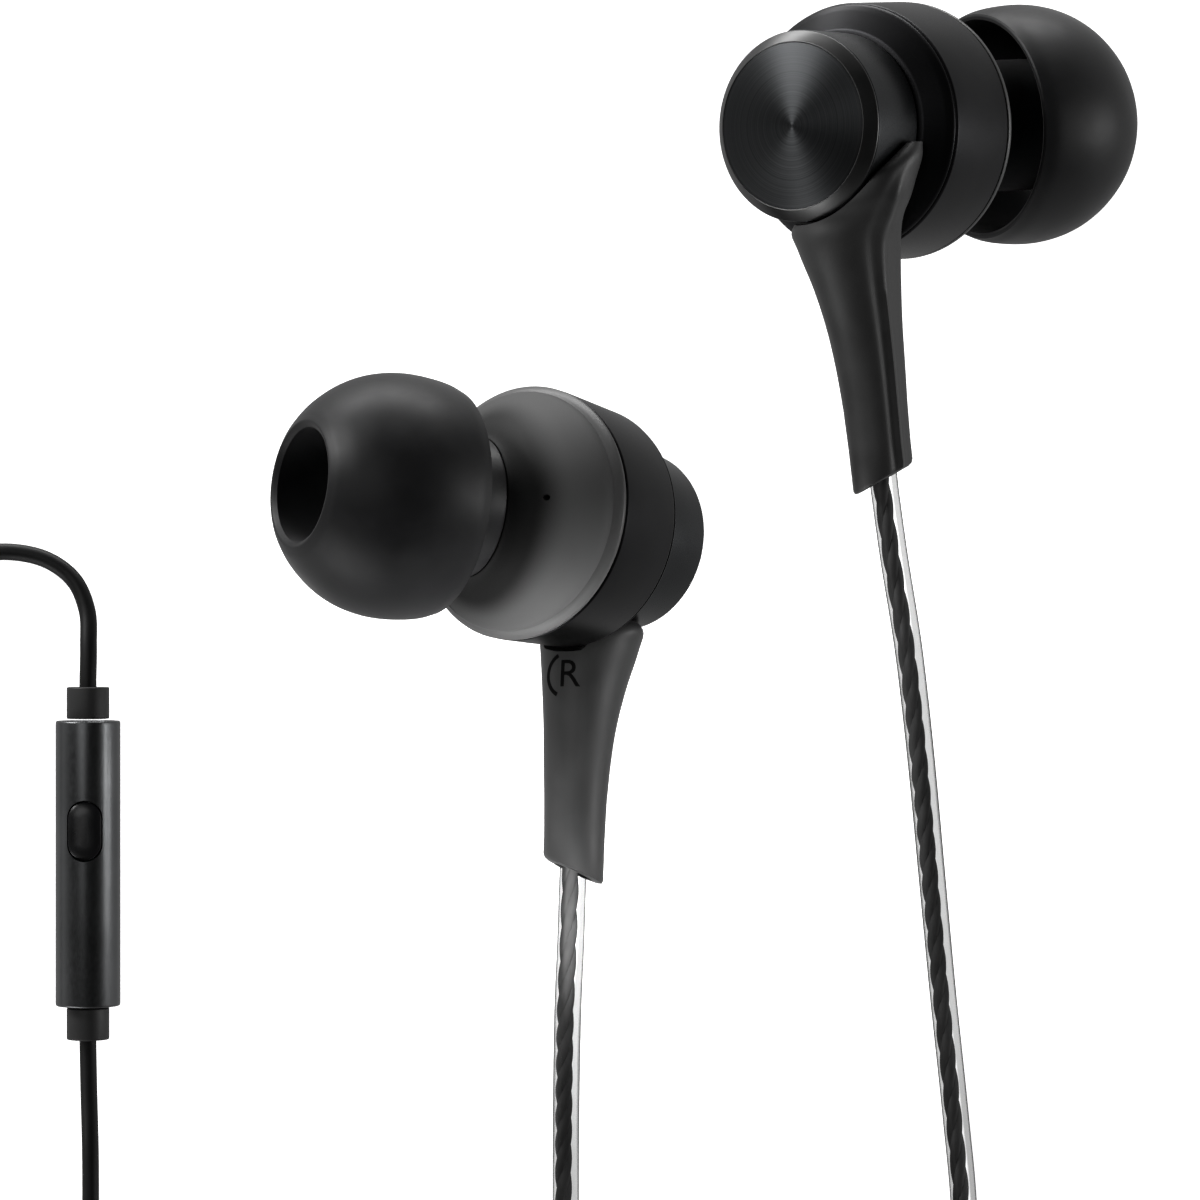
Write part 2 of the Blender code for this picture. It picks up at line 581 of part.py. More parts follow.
def build_plug():
    """Four-contact 3.5 mm plug: relief, barrel, contacts and the insulating core between them."""
    frame = frame_empty("plug_frame", PLUG_PLACE, Matrix.Identity(3))
    rubber = material("collar_rubber", (0.2, 0.2, 0.21), 0.5)
    black = material("housing_black_aluminium", (0.05, 0.055, 0.06), 0.35, 0.9)
    gold = material("contact_gold", (0.8, 0.6, 0.3), 0.2, 1.0)
    relief_end = PLUG_RELIEF_LENGTH
    relief = [
        (MAIN_CORD_BORE, 0), (1.05, 0), (1.7, relief_end - GAP), (MAIN_CORD_BORE, relief_end - GAP),
    ]
    turned("plug_relief", relief, rubber, frame, sides=24, axis="X")
    barrel_end = relief_end + PLUG_BARREL_LENGTH
    barrel = [
        (MAIN_CORD_BORE, relief_end), (PLUG_BARREL_RADIUS - 0.3, relief_end),
        (PLUG_BARREL_RADIUS, relief_end + 0.3), (PLUG_BARREL_RADIUS, barrel_end - 0.3),
        (PLUG_BARREL_RADIUS - 0.3, barrel_end), (MAIN_CORD_BORE, barrel_end),
    ]
    turned("plug_barrel", barrel, black, frame, sides=32, axis="X")
    core_radius = 0.75
    start = barrel_end + GAP
    sleeve_end = start + 5.6
    ring_ends = (sleeve_end + 2.3, sleeve_end + 4.6)
    tip_end = start + PLUG_CONTACT_LENGTH
    wide = PLUG_CONTACT_RADIUS
    inner = core_radius + 0.08
    spacer = 0.5
    turned("plug_sleeve", ring_outline(inner, wide, start, sleeve_end), gold, frame, sides=22, axis="X")
    for index, (low, high) in enumerate(((sleeve_end, ring_ends[0]), (ring_ends[0], ring_ends[1]))):
        turned("plug_ring_" + str(index + 1), ring_outline(inner, wide, low + spacer, high), gold, frame, sides=22,
               axis="X")
    tip = [
        (0, ring_ends[1] + spacer), (wide, ring_ends[1] + spacer), (wide, ring_ends[1] + 1.3), (1.2, tip_end - 2.3),
        (wide, tip_end - 1.5), (0.9, tip_end - 0.3), (0, tip_end),
    ]
    turned("plug_tip", tip, gold, frame, sides=22, axis="X", closed=False)
    core = [(0, start), (core_radius, start)]
    slack = 0.06
    for edge in (sleeve_end, *ring_ends):
        core += [
            (core_radius, edge + slack), (wide, edge + slack), (wide, edge + spacer - slack),
            (core_radius, edge + spacer - slack),
        ]
    core[-1] = (0, ring_ends[1] + spacer - slack)
    turned("plug_insulator", core, material("plug_plastic", (0.02, 0.02, 0.02), 0.4), frame, sides=22, axis="X",
           closed=False)


def main():
    """Build the whole object."""
    clear_scene()
    left_exit = build_earpiece("left", LEFT_PLACE, LEFT_AXIS, LEFT_STEM)
    right_exit = build_earpiece("right", RIGHT_PLACE, RIGHT_AXIS, RIGHT_STEM)
    build_remote()
    build_splitter()
    build_plug()
    build_cords(left_exit, right_exit)


main()
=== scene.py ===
"""Looks for the wired earphones: materials, fine pieces, cords, studio light and camera."""

import logging
import math
from collections.abc import Sequence
from dataclasses import dataclass
from enum import Enum

import bmesh
import bpy
import numpy as np
from mathutils import Matrix, Vector
from mathutils.bvhtree import BVHTree


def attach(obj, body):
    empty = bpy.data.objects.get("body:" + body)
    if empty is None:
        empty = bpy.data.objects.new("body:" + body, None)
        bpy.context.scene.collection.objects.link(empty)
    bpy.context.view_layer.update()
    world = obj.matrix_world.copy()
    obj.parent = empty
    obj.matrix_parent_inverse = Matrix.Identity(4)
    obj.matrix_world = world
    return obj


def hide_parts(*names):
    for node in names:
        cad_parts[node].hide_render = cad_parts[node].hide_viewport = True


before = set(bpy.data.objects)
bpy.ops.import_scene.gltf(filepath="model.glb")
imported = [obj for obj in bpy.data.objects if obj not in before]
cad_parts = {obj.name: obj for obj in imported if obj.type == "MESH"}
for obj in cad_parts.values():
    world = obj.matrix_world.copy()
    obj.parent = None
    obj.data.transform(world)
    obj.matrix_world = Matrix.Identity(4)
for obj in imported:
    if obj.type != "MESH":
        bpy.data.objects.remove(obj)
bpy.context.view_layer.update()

LOG = logging.getLogger("earphones")
MM = 0.001
BODY = "earphones"
CREASE = math.radians(38)

# Places and routes repeated from the CAD source, in millimetres.
COIL_Y = -53.0
COIL_BASE = 0.7
CORD_BORE = 0.5
LEFT_LEAD = (
    (8.95, -6.0, 15.2), (9.75, -10.5, 13.9), (10.6, -16.0, 10.6), (11.45, -22.0, 6.4),
    (12.3, -28.5, 2.9), (13.1, -35.0, 1.1), (13.6, -40.5, 0.85), (13.65, -47.5, 1.4),
)
LEFT_TAIL = (
    (13.65, -58.5, 2.0), (13.0, -62.5, 1.0), (10.6, -66.8, 0.75), (6.0, -69.4, 0.75),
    (0.0, -70.0, 0.75), (-7.0, -69.8, 0.9), (-14.1, -69.6, 1.4),
)
RIGHT_LEAD = (
    (-7.15, -25.6, 8.7), (-7.3, -29.0, 7.7), (-7.4, -33.5, 4.7), (-7.45, -38.0, 1.95),
    (-7.45, -42.5, 0.95), (-7.45, -47.5, 1.4),
)
RIGHT_TAIL = (
    (-7.45, -58.5, 2.6), (-7.8, -61.5, 1.3), (-9.2, -65.0, 0.85), (-11.3, -67.3, 1.0),
    (-14.1, -68.0, 1.4),
)
REMOTE_UPPER = (
    (-32.6, -12.2, 1.72), (-32.6, -10.4, 1.5), (-32.75, -8.5, 0.95), (-33.6, -6.8, 0.6),
    (-35.4, -5.7, 0.5), (-38.0, -5.5, 0.5), (-40.7, -6.5, 0.5), (-42.3, -9.2, 0.5),
    (-42.9, -14.0, 0.5), (-42.9, -28.0, 0.5), (-42.9, -44.0, 0.5), (-42.6, -58.0, 0.5),
    (-41.0, -64.5, 0.5), (-36.8, -68.1, 0.55), (-31.5, -68.8, 1.0), (-27.5, -68.8, 1.4),
)
REMOTE_LOWER = (
    (-32.6, -31.5, 1.72), (-32.6, -34.0, 1.3), (-32.6, -37.5, 0.6), (-32.6, -42.0, 0.6),
    (-32.6, -47.5, 1.15),
)
PLUG_LEAD = (
    (-21.6, -60.1, 5.4), (-18.5, -59.9, 6.0), (-15.5, -59.3, 6.9), (-13.0, -58.8, 7.5),
    (-10.7, -58.6, 7.8),
)


class Shading(Enum):
    """How a mesh's faces are shaded."""

    FLAT = "flat"
    SMOOTH = "smooth"
    SHARP_EDGES = "sharp_edges"


# ---------------------------------------------------------------- node helpers


def srgb(code: str) -> tuple[float, float, float, float]:
    """Convert a hex colour to linear light.

    Args:
        code: Six hex digits, such as "#303234".

    Returns:
        Linear red, green and blue, and full alpha.
    """
    digits = code.lstrip("#")
    channels = [int(digits[i : i + 2], 16) / 255 for i in (0, 2, 4)]
    linear = [c / 12.92 if c <= 0.04045 else ((c + 0.055) / 1.055) ** 2.4 for c in channels]
    return (*linear, 1.0)


class Graph:
    """A material's node tree with one way to add nodes."""

    def __init__(self, name: str) -> None:
        """Start a material with its Principled shader."""
        self.material = bpy.data.materials.new(name)
        self.material.use_nodes = True
        self.tree = self.material.node_tree
        self.shader = self.tree.nodes["Principled BSDF"]
        self.output = self.tree.nodes["Material Output"]

    def add(self, kind: str, settings: dict | None = None, **inputs: object) -> bpy.types.Node:
        """Add a node.

        Args:
            kind: The node's type, such as "ShaderNodeTexNoise".
            settings: Properties to set on the node.
            **inputs: Values or output sockets, by input name with underscores for spaces.

        Returns:
            The node.
        """
        node = self.tree.nodes.new(kind)
        for key, value in (settings or {}).items():
            setattr(node, key, value)
        for key, value in inputs.items():
            self.feed(node, key.replace("_", " "), value)
        return node

    def feed(self, node: bpy.types.Node, name: str, value: object) -> None:
        """Set or link one input.

        Args:
            node: The node to feed.
            name: The input's name, or i and its index, such as "i0".
            value: A value, or an output socket to link.
        """
        indexed = name[0] == "i" and name[1:].isdigit()
        socket = node.inputs[int(name[1:]) if indexed else name]
        if isinstance(value, bpy.types.NodeSocket):
            self.tree.links.new(value, socket)
        else:
            socket.default_value = value

    def set(self, **values: object) -> None:
        """Set the Principled shader's inputs by name."""
        for key, value in values.items():
            self.feed(self.shader, key.replace("_", " "), value)

    def place(self) -> bpy.types.NodeSocket:
        """Return object coordinates in metres."""
        return self.add("ShaderNodeTexCoord").outputs["Object"]

    def noise(
        self, size_mm: float, detail: float = 3.0, stretch: tuple[float, float, float] = (1, 1, 1)
    ) -> bpy.types.NodeSocket:
        """Return a noise value whose features are about size_mm across.

        Args:
            size_mm: Feature size in millimetres.
            detail: Noise detail.
            stretch: Scale along each axis, for lengthwise or crosswise grain.

        Returns:
            The noise's value socket.
        """
        mapped = self.add("ShaderNodeMapping", Vector=self.place(), Scale=stretch).outputs[0]
        scale = 1 / (size_mm * MM)
        return self.add("ShaderNodeTexNoise", Vector=mapped, Scale=scale, Detail=detail).outputs[0]

    def spread(self, value: bpy.types.NodeSocket, low: float, high: float) -> bpy.types.NodeSocket:
        """Return a noise value spread over low to high."""
        middle = {"From_Min": 0.25, "From_Max": 0.75}
        return self.add("ShaderNodeMapRange", Value=value, **middle, To_Min=low, To_Max=high).outputs[0]

    def tint(self, value: bpy.types.NodeSocket, low: str, high: str) -> bpy.types.NodeSocket:
        """Return a colour between two hex colours."""
        return self.ramp(value, ((0.3, low), (0.7, high)))

    def ramp(self, value: bpy.types.NodeSocket, stops: tuple[tuple[float, str], ...]) -> bpy.types.NodeSocket:
        """Return a colour ramp.

        Args:
            value: Where to read it.
            stops: Place and hex colour of each stop: the first, the last, then those between.

        Returns:
            The colour socket.
        """
        node = self.add("ShaderNodeValToRGB", Fac=value)
        elements = node.color_ramp.elements
        for i, (place, code) in enumerate(stops):
            stop = elements[i] if i < 2 else elements.new(place)
            stop.position = place
            stop.color = srgb(code)
        return node.outputs[0]

    def bump(self, height: bpy.types.NodeSocket, depth_mm: float, strength: float = 1.0) -> None:
        """Feed a height into the shader's normal.

        Args:
            height: Height in 0..1.
            depth_mm: Real depth of the relief in millimetres.
            strength: Share of the bump used.
        """
        node = self.add("ShaderNodeBump", Height=height, Distance=depth_mm * MM, Strength=strength)
        self.set(Normal=node.outputs[0])


# ---------------------------------------------------------------- materials


@dataclass(frozen=True)
class SpunAluminium:
    """Aluminium faced on a lathe: concentric tool lines that throw light into radial wedges."""

    name: str = "spun_aluminium"
    dark: str = "#28292a"
    light: str = "#3a3b3c"
    roughness: float = 0.45
    line_mm: float = 0.09

    def build(self) -> bpy.types.Material:
        """Return the material."""
        g = Graph(self.name)
        parts = g.add("ShaderNodeSeparateXYZ", Vector=g.place())
        flat = g.add("ShaderNodeCombineXYZ", X=parts.outputs[0], Y=parts.outputs[1])
        radius = g.add("ShaderNodeVectorMath", {"operation": "LENGTH"}, i0=flat.outputs[0])
        along = g.add("ShaderNodeCombineXYZ", X=radius.outputs["Value"])
        scale = 1 / (self.line_mm * MM)
        rings = g.add("ShaderNodeTexNoise", Vector=along.outputs[0], Scale=scale, Detail=4.0).outputs[0]
        g.set(Base_Color=g.tint(rings, self.dark, self.light), Metallic=1.0)
        g.set(Roughness=g.spread(rings, self.roughness - 0.05, self.roughness + 0.05))
        g.set(Anisotropic=0.78, Anisotropic_Rotation=0.25)
        tangent = g.add("ShaderNodeTangent", {"direction_type": "RADIAL", "axis": "Z"})
        g.set(Tangent=tangent.outputs[0])
        g.bump(rings, 0.0015, 0.35)
        return g.material


@dataclass(frozen=True)
class AnodisedAluminium:
    """Anodised aluminium: a dark satin metal with a very fine blasted grain."""

    name: str
    dark: str
    light: str
    roughness: float = 0.34
    grain_mm: float = 0.05
    metallic: float = 1.0

    def build(self) -> bpy.types.Material:
        """Return the material."""
        g = Graph(self.name)
        grain = g.noise(self.grain_mm)
        cloud = g.noise(3.0, 2.0)
        g.set(Base_Color=g.tint(cloud, self.dark, self.light), Metallic=self.metallic)
        g.set(Roughness=g.spread(grain, self.roughness - 0.04, self.roughness + 0.04))
        g.bump(grain, 0.002, 0.3)
        return g.material


@dataclass(frozen=True)
class BlastedDomePaintedShadow:
    """Bead-blasted anodising with a painted shadow: its colour darkens towards the neck, where the tip shades
    the dome.
    """

    name: str
    centre: tuple[float, float, float]
    axis: tuple[float, float, float]
    # The painted shadow: its colour near the neck, the dome's own colour, and the radii over which the shadow
    # fades out.
    dark: str = "#0b0b0b"
    light: str = "#424242"
    shadow_inner_mm: float = 4.6
    shadow_outer_mm: float = 5.7

    def build(self) -> bpy.types.Material:
        """Return the material."""
        g = Graph(self.name)
        centre = tuple(c * MM for c in self.centre)
        away = g.add("ShaderNodeVectorMath", {"operation": "SUBTRACT"}, i0=g.place(), i1=centre)
        part = g.add("ShaderNodeVectorMath", {"operation": "CROSS_PRODUCT"}, i0=away.outputs[0], i1=self.axis)
        radius = g.add("ShaderNodeVectorMath", {"operation": "LENGTH"}, i0=part.outputs[0])
        # Painted shadow: the colour darkens the nearer a point lies to the nozzle axis.
        fade = g.add(
            "ShaderNodeMapRange", {"interpolation_type": "SMOOTHSTEP"}, Value=radius.outputs["Value"],
            From_Min=self.shadow_inner_mm * MM, From_Max=self.shadow_outer_mm * MM,
        )
        colour = g.ramp(fade.outputs[0], ((0.0, self.dark), (1.0, self.light)))
        grain = g.noise(0.05)
        g.set(Base_Color=colour, Specular_IOR_Level=0.25, Roughness=g.spread(grain, 0.6, 0.68))
        g.bump(grain, 0.002, 0.3)
        return g.material


@dataclass(frozen=True)
class SoftRubber:
    """Silicone or thermoplastic rubber: dull skin, soft sheen at grazing angles, faint dust."""

    name: str
    dark: str
    light: str
    roughness: float = 0.5
    sheen: float = 0.3
    grain_mm: float = 0.06
    specular: float = 0.5

    def build(self) -> bpy.types.Material:
        """Return the material."""
        g = Graph(self.name)
        cloud = g.noise(1.6, 4.0)
        grain = g.noise(self.grain_mm, 2.0)
        g.set(Base_Color=g.tint(cloud, self.dark, self.light), IOR=1.45)
        g.set(Roughness=g.spread(cloud, self.roughness - 0.05, self.roughness + 0.05))
        g.set(Sheen_Weight=self.sheen, Sheen_Roughness=0.4, Specular_IOR_Level=self.specular)
        g.bump(grain, 0.004, 0.25)
        return g.material


@dataclass(frozen=True)
class MouldedPlastic:
    """Injection-moulded plastic: even colour, slight texture and a clear highlight."""

    name: str
    dark: str
    light: str
    roughness: float = 0.25
    coat: float = 0.0

    def build(self) -> bpy.types.Material:
        """Return the material."""
        g = Graph(self.name)
        cloud = g.noise(0.9, 3.0)
        g.set(Base_Color=g.tint(cloud, self.dark, self.light), IOR=1.5, Coat_Weight=self.coat)
        g.set(Roughness=g.spread(cloud, self.roughness - 0.03, self.roughness + 0.03))
        g.bump(g.noise(0.12, 2.0), 0.002, 0.2)
        return g.material


@dataclass(frozen=True)
class PlatedMetal:
    """Plated or bare metal: bright, with fine turning lines along the part."""

    name: str
    dark: str
    light: str
    roughness: float = 0.2

    def build(self) -> bpy.types.Material:
        """Return the material."""
        g = Graph(self.name)
        lines = g.noise(0.08, 3.0, (1.0, 0.15, 0.15))
        g.set(Base_Color=g.tint(lines, self.dark, self.light), Metallic=1.0)
        g.set(Roughness=g.spread(lines, self.roughness - 0.05, self.roughness + 0.07))
        g.bump(lines, 0.001, 0.3)
        return g.material


@dataclass(frozen=True)
class ClearJacket:
    """Clear extruded jacket: see-through in the middle, with painted grey shade and a painted dark outline at
    its edges, and a sharp highlight.
    """

    name: str = "clear_extruded_tpe"
    # Colours of the painted edge shade: the grey band and the dark outline.
    edge: str = "#cccccc"
    rim: str = "#757575"

    def build(self) -> bpy.types.Material:
        """Return the material."""
        g = Graph(self.name)
        facing = g.add("ShaderNodeLayerWeight", Blend=0.5).outputs["Facing"]
        # Painted shade: the see-through colour turns grey, then dark, towards the sides, standing in for
        # refraction.
        tint = g.ramp(facing, ((0.1, "#ffffff"), (0.8, self.rim), (0.2, self.edge), (0.5, self.edge)))
        clear = g.add("ShaderNodeBsdfTransparent", Color=tint)
        wave = g.noise(6.0, 2.0)
        shine = g.add("ShaderNodeBsdfGlossy", Roughness=g.spread(wave, 0.16, 0.2))
        fresnel = g.add("ShaderNodeFresnel", IOR=1.5)
        # Only front faces shine, and only near the sides, so the strands stay clear to see.
        back = g.add("ShaderNodeNewGeometry").outputs["Backfacing"]
        front = g.add("ShaderNodeMath", {"operation": "SUBTRACT"}, i0=fresnel.outputs[0], i1=back)
        front.use_clamp = True
        side = g.add("ShaderNodeMapRange", Value=facing, From_Min=0.3, From_Max=0.55)
        gloss = g.add("ShaderNodeMath", {"operation": "MULTIPLY"}, i0=front.outputs[0], i1=side.outputs[0])
        mix = g.add("ShaderNodeMixShader", i0=gloss.outputs[0], i1=clear.outputs[0], i2=shine.outputs[0])
        g.tree.links.new(mix.outputs[0], g.output.inputs["Surface"])
        return g.material


@dataclass(frozen=True)
class WovenNylon:
    """Woven nylon strap: crossed ribs a quarter of a millimetre apart."""

    name: str = "woven_nylon"
    dark: str = "#141415"
    light: str = "#2a2a2c"
    rib_mm: float = 0.25

    def build(self) -> bpy.types.Material:
        """Return the material."""
        g = Graph(self.name)
        scale = 1 / (self.rib_mm * MM)
        across = g.add("ShaderNodeTexWave", Vector=g.place(), Scale=scale / 6.28, Distortion=0.4)
        along = g.add("ShaderNodeTexWave", {"bands_direction": "Z"}, Vector=g.place(), Scale=scale / 6.28)
        weave = g.add("ShaderNodeMath", {"operation": "MULTIPLY"}, i0=across.outputs[1], i1=along.outputs[1])
        g.set(Base_Color=g.tint(weave.outputs[0], self.dark, self.light), Roughness=0.8)
        g.bump(weave.outputs[0], 0.05, 0.6)
        return g.material


@dataclass(frozen=True)
class WovenSteelMesh:
    """Woven steel mesh across a nozzle: round wires, and painted shade for the dark holes between them."""

    name: str = "woven_steel_mesh"
    pitch_mm: float = 0.16

    def build(self) -> bpy.types.Material:
        """Return the material."""
        g = Graph(self.name)
        cells = g.add(
            "ShaderNodeTexVoronoi", {"distance": "CHEBYCHEV"}, Vector=g.place(),
            Scale=1 / (self.pitch_mm * MM), Randomness=0.0,
        )
        # The holes are painted dark as shade, not cut through.
        g.set(Base_Color=g.tint(cells.outputs[0], "#050505", "#3a3b3d"), Metallic=1.0, Roughness=0.4)
        g.bump(cells.outputs[0], 0.05, 0.6)
        return g.material


class Finishes:
    """Every material of the visible pieces, built once."""

    def __init__(self) -> None:
        """Build the materials."""
        # Lathe-faced aluminium: the bow-tie highlights of the caps.
        self.cap = SpunAluminium().build()
        # Dark anodising on the cap's wall.
        self.cap_side = AnodisedAluminium("anodised_aluminium_wall", "#2b2c2d", "#323334", 0.30).build()
        # Diamond-cut bevel: a brighter line between the disc and the wall.
        self.bevel = AnodisedAluminium("diamond_cut_bevel", "#464646", "#4a4a4a", 0.34, 1.2).build()
        # Softly lapped ring that catches the light round the dome; its lighter colour is partly a painted
        # highlight of the dome's rounded edge.
        rim = AnodisedAluminium("aluminium_rim_painted_highlight", "#464646", "#4e4e4e", 0.45, metallic=0.35)
        self.rim = rim.build()
        # Darker satin shell.
        self.housing = AnodisedAluminium("anodised_aluminium_shell", "#1d1d1e", "#232324", 0.36).build()
        # Moulded black neck, darker than the dome that it leaves.
        self.neck = MouldedPlastic("glossy_abs_neck", "#141415", "#19191a", 0.4, 0.0).build()
        # Silicone skin with a wide soft highlight.
        self.tip = SoftRubber("silicone_rubber_tip", "#0f0f10", "#141415", 0.46, 0.08, specular=0.2).build()
        # Matt rubber, visibly lighter than the metal.
        self.stem = SoftRubber("matt_tpe_stem", "#191919", "#1e1e1e", 0.5, 0.05).build()
        # See-through jacket of the earpiece cords, with painted grey shade towards its sides.
        self.jacket = ClearJacket().build()
        # Black insulated conductors under the jacket.
        self.core = SoftRubber("black_pvc_conductor", "#363636", "#404040", 0.75, 0.0, specular=0.2).build()
        # Plain black jacket of the slimmer main cord.
        black_jacket = SoftRubber("black_extruded_tpe", "#050505", "#080808", 0.5, 0.0, specular=0.25)
        self.black_jacket = black_jacket.build()
        # Remote tube, satin with dark middle and lighter sides.
        self.remote = AnodisedAluminium("anodised_aluminium_remote", "#555657", "#5e5f60", 0.32, 0.2).build()
        # Dull rubber collars, boots and reliefs.
        self.collar = SoftRubber("matt_tpe_collar", "#131313", "#171717", 0.5, 0.0).build()
        # Button darker than its tube, with a small highlight.
        self.button = MouldedPlastic("satin_pc_button", "#040405", "#070708", 0.3).build()
        # Warm bright plug contacts.
        self.gold = PlatedMetal("gold_plated_brass", "#c79a4e", "#dcb36a", 0.18).build()
        # Ribbed fabric of the ties.
        self.tie = WovenNylon().build()
        # Matt block, its grooves soft in outline.
        self.splitter = MouldedPlastic("matt_abs_block", "#1d1e20", "#252628", 0.45).build()
        # Side mark, darker than the rubber round it: painted shade of a recessed letter, on a sheet laid over
        # the rubber.
        self.mark = SoftRubber("side_mark_painted_shade", "#020202", "#040404", 0.9, 0.0, specular=0.1).build()


# ---------------------------------------------------------------- shape helpers


def catmull(points: Sequence, steps: int = 6) -> list[Vector]:
    """Return a smooth curve through points of any dimension.

    Args:
        points: The points it passes through.
        steps: Points added in each span.

    Returns:
        The curve's points.
    """
    given = [Vector(p) for p in points]
    padded = [given[0] * 2 - given[1]] + given + [given[-1] * 2 - given[-2]]
    curve = []
    for a, b, c, d in zip(padded, padded[1:], padded[2:], padded[3:]):
        square = 2 * a - 5 * b + 4 * c - d
        cube = 3 * b - a - 3 * c + d
        for i in range(steps):
            t = i / steps
            curve.append(0.5 * (2 * b + (c - a) * t + square * t**2 + cube * t**3))
    curve.append(given[-1])
    return curve


def rounded(points: Sequence, radius: float, steps: int = 4) -> list[Vector]:
    """Round the corners of a closed outline.

    Args:
        points: Corner points.
        radius: Fillet size in millimetres.
        steps: Segments in each corner.

    Returns:
        The rounded outline.
    """
    given = [Vector(p) for p in points]
    result = []
    for i, corner in enumerate(given):
        before = given[i - 1] - corner
        after = given[(i + 1) % len(given)] - corner
        cutback = min(radius, before.length * 0.45, after.length * 0.45)
        start = corner + before.normalized() * cutback
        stop = corner + after.normalized() * cutback
        for k in range(steps + 1):
            t = k / steps
            result.append(start * (1 - t) ** 2 + corner * (2 * t * (1 - t)) + stop * t**2)
    return result


def around(sides: int) -> list[float]:
    """Return evenly spaced angles of a full turn."""
    return [2 * math.pi * i / sides for i in range(sides)]


def add_ring(
    mesh: bmesh.types.BMesh, centre: Vector, across: Vector, over: Vector, radius: float, sides: int
) -> list[bmesh.types.BMVert]:
    """Add a ring of vertices, or one vertex at radius zero.

    Args:
        mesh: The mesh to add to.
        centre: The ring's middle.
        across: Direction of its first vertex.
        over: Direction a quarter turn on.
        radius: Its radius.
        sides: How many vertices it has.

    Returns:
        The vertices.
    """
    if radius < 1e-6:
        return [mesh.verts.new(centre)]
    ring = [across * (radius * math.cos(a)) + over * (radius * math.sin(a)) for a in around(sides)]
    return [mesh.verts.new(centre + point) for point in ring]


def bridge(mesh: bmesh.types.BMesh, first: list, second: list) -> None:
    """Join two rings of vertices with faces.

    Args:
        mesh: The mesh that they are in.
        first: One ring.
        second: The other; either may be a single vertex.
    """
    count = max(len(first), len(second))
    for i in range(count if count > 1 else 0):
        j = (i + 1) % count
        corners = [first[i % len(first)], first[j % len(first)]]
        corners += [second[j % len(second)], second[i % len(second)]]
        mesh.faces.new(list(dict.fromkeys(corners)))


def skin(mesh: bmesh.types.BMesh, rings: list[list], capped: bool = True, closed: bool = False) -> None:
    """Join rings of vertices one after another.

    Args:
        mesh: The mesh that they are in.
        rings: The rings in order.
        capped: Whether the first and the last are filled in.
        closed: Whether the last joins the first instead.
    """
    for first, second in zip(rings, rings[1:]):
        bridge(mesh, first, second)
    if closed:
        bridge(mesh, rings[-1], rings[0])
    elif capped:
        mesh.faces.new(rings[0])
        mesh.faces.new(rings[-1])


def turned(outline: list, sides: int = 128, closed: bool = True, axis: str = "Z") -> bmesh.types.BMesh:
    """Turn an outline of (radius, height) points about an axis.

    Args:
        outline: The outline in millimetres.
        sides: Segments round the axis.
        closed: Whether the last ring joins the first.
        axis: "X", "Y" or "Z".

    Returns:
        The mesh in millimetres.
    """
    mesh = bmesh.new()
    x, y, z = Vector((1, 0, 0)), Vector((0, 1, 0)), Vector((0, 0, 1))
    across, over, along = {"Z": (x, y, z), "Y": (z, x, y), "X": (y, z, x)}[axis]
    skin(mesh, [add_ring(mesh, along * h, across, over, r, sides) for r, h in outline], False, closed)
    return mesh


def make_piece(
    name: str,
    mesh: bmesh.types.BMesh,
    material: bpy.types.Material,
    place: Matrix = Matrix.Identity(4),
    shading: Shading = Shading.SHARP_EDGES,
    keep_frame: bool = False,
) -> bpy.types.Object:
    """Turn a mesh in millimetres into an object.

    Args:
        name: The object's name.
        mesh: The bmesh, which is freed.
        material: Its material.
        place: The frame it is modelled in, in metres.
        shading: How its faces are shaded.
        keep_frame: Whether the object keeps its own axes instead of the world's.

    Returns:
        The object.
    """
    bmesh.ops.recalc_face_normals(mesh, faces=mesh.faces)
    bmesh.ops.scale(mesh, vec=(MM, MM, MM), verts=mesh.verts)
    if not keep_frame:
        bmesh.ops.transform(mesh, matrix=place, verts=mesh.verts)
    data = bpy.data.meshes.new(name)
    mesh.to_mesh(data)
    mesh.free()
    data.materials.append(material)
    data.shade_smooth()
    if shading is Shading.FLAT:
        data.shade_flat()
    if shading is Shading.SHARP_EDGES:
        data.set_sharp_from_angle(angle=CREASE)
    made = bpy.data.objects.new(name, data)
    bpy.context.scene.collection.objects.link(made)
    if keep_frame:
        made.matrix_world = place
    return made


def settle(piece: bpy.types.Object, body: str, *nodes: str, slot: str | None = None) -> bpy.types.Object:
    """Make a piece ride on a body and stand for CAD nodes.

    Args:
        piece: The piece.
        body: The body that it rides on.
        *nodes: CAD nodes that it replaces.
        slot: Not used.

    Returns:
        The piece.
    """
    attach(piece, body)
    if nodes:
        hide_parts(*nodes)
    return piece


def turned_piece(
    name: str, outline: list, finish: bpy.types.Material, place: Matrix, *nodes: str, slot: str,
    body: str = BODY, sides: int = 128, axis: str = "Z",
) -> bpy.types.Object:
    """Turn a closed outline into a settled piece.

    Args:
        name: The piece's name.
        outline: The outline in millimetres.
        finish: Its material.
        place: The frame it is modelled in.
        *nodes: CAD nodes that it replaces.
        slot: Passed on to settle().
        body: The body that it rides on.
        sides: Segments round the axis.
        axis: "X", "Y" or "Z".

    Returns:
        The piece.
    """
    piece = make_piece(name, turned(outline, sides, True, axis), finish, place)
    return settle(piece, body, *nodes, slot=slot)


def cutter(
    outline: list, place: Matrix, finish: bpy.types.Material, sides: int = 48, axis: str = "Y"
) -> bpy.types.Object:
    """Return a turned solid that carve() takes away."""
    return make_piece("cutter", turned(outline, sides, False, axis), finish, place)


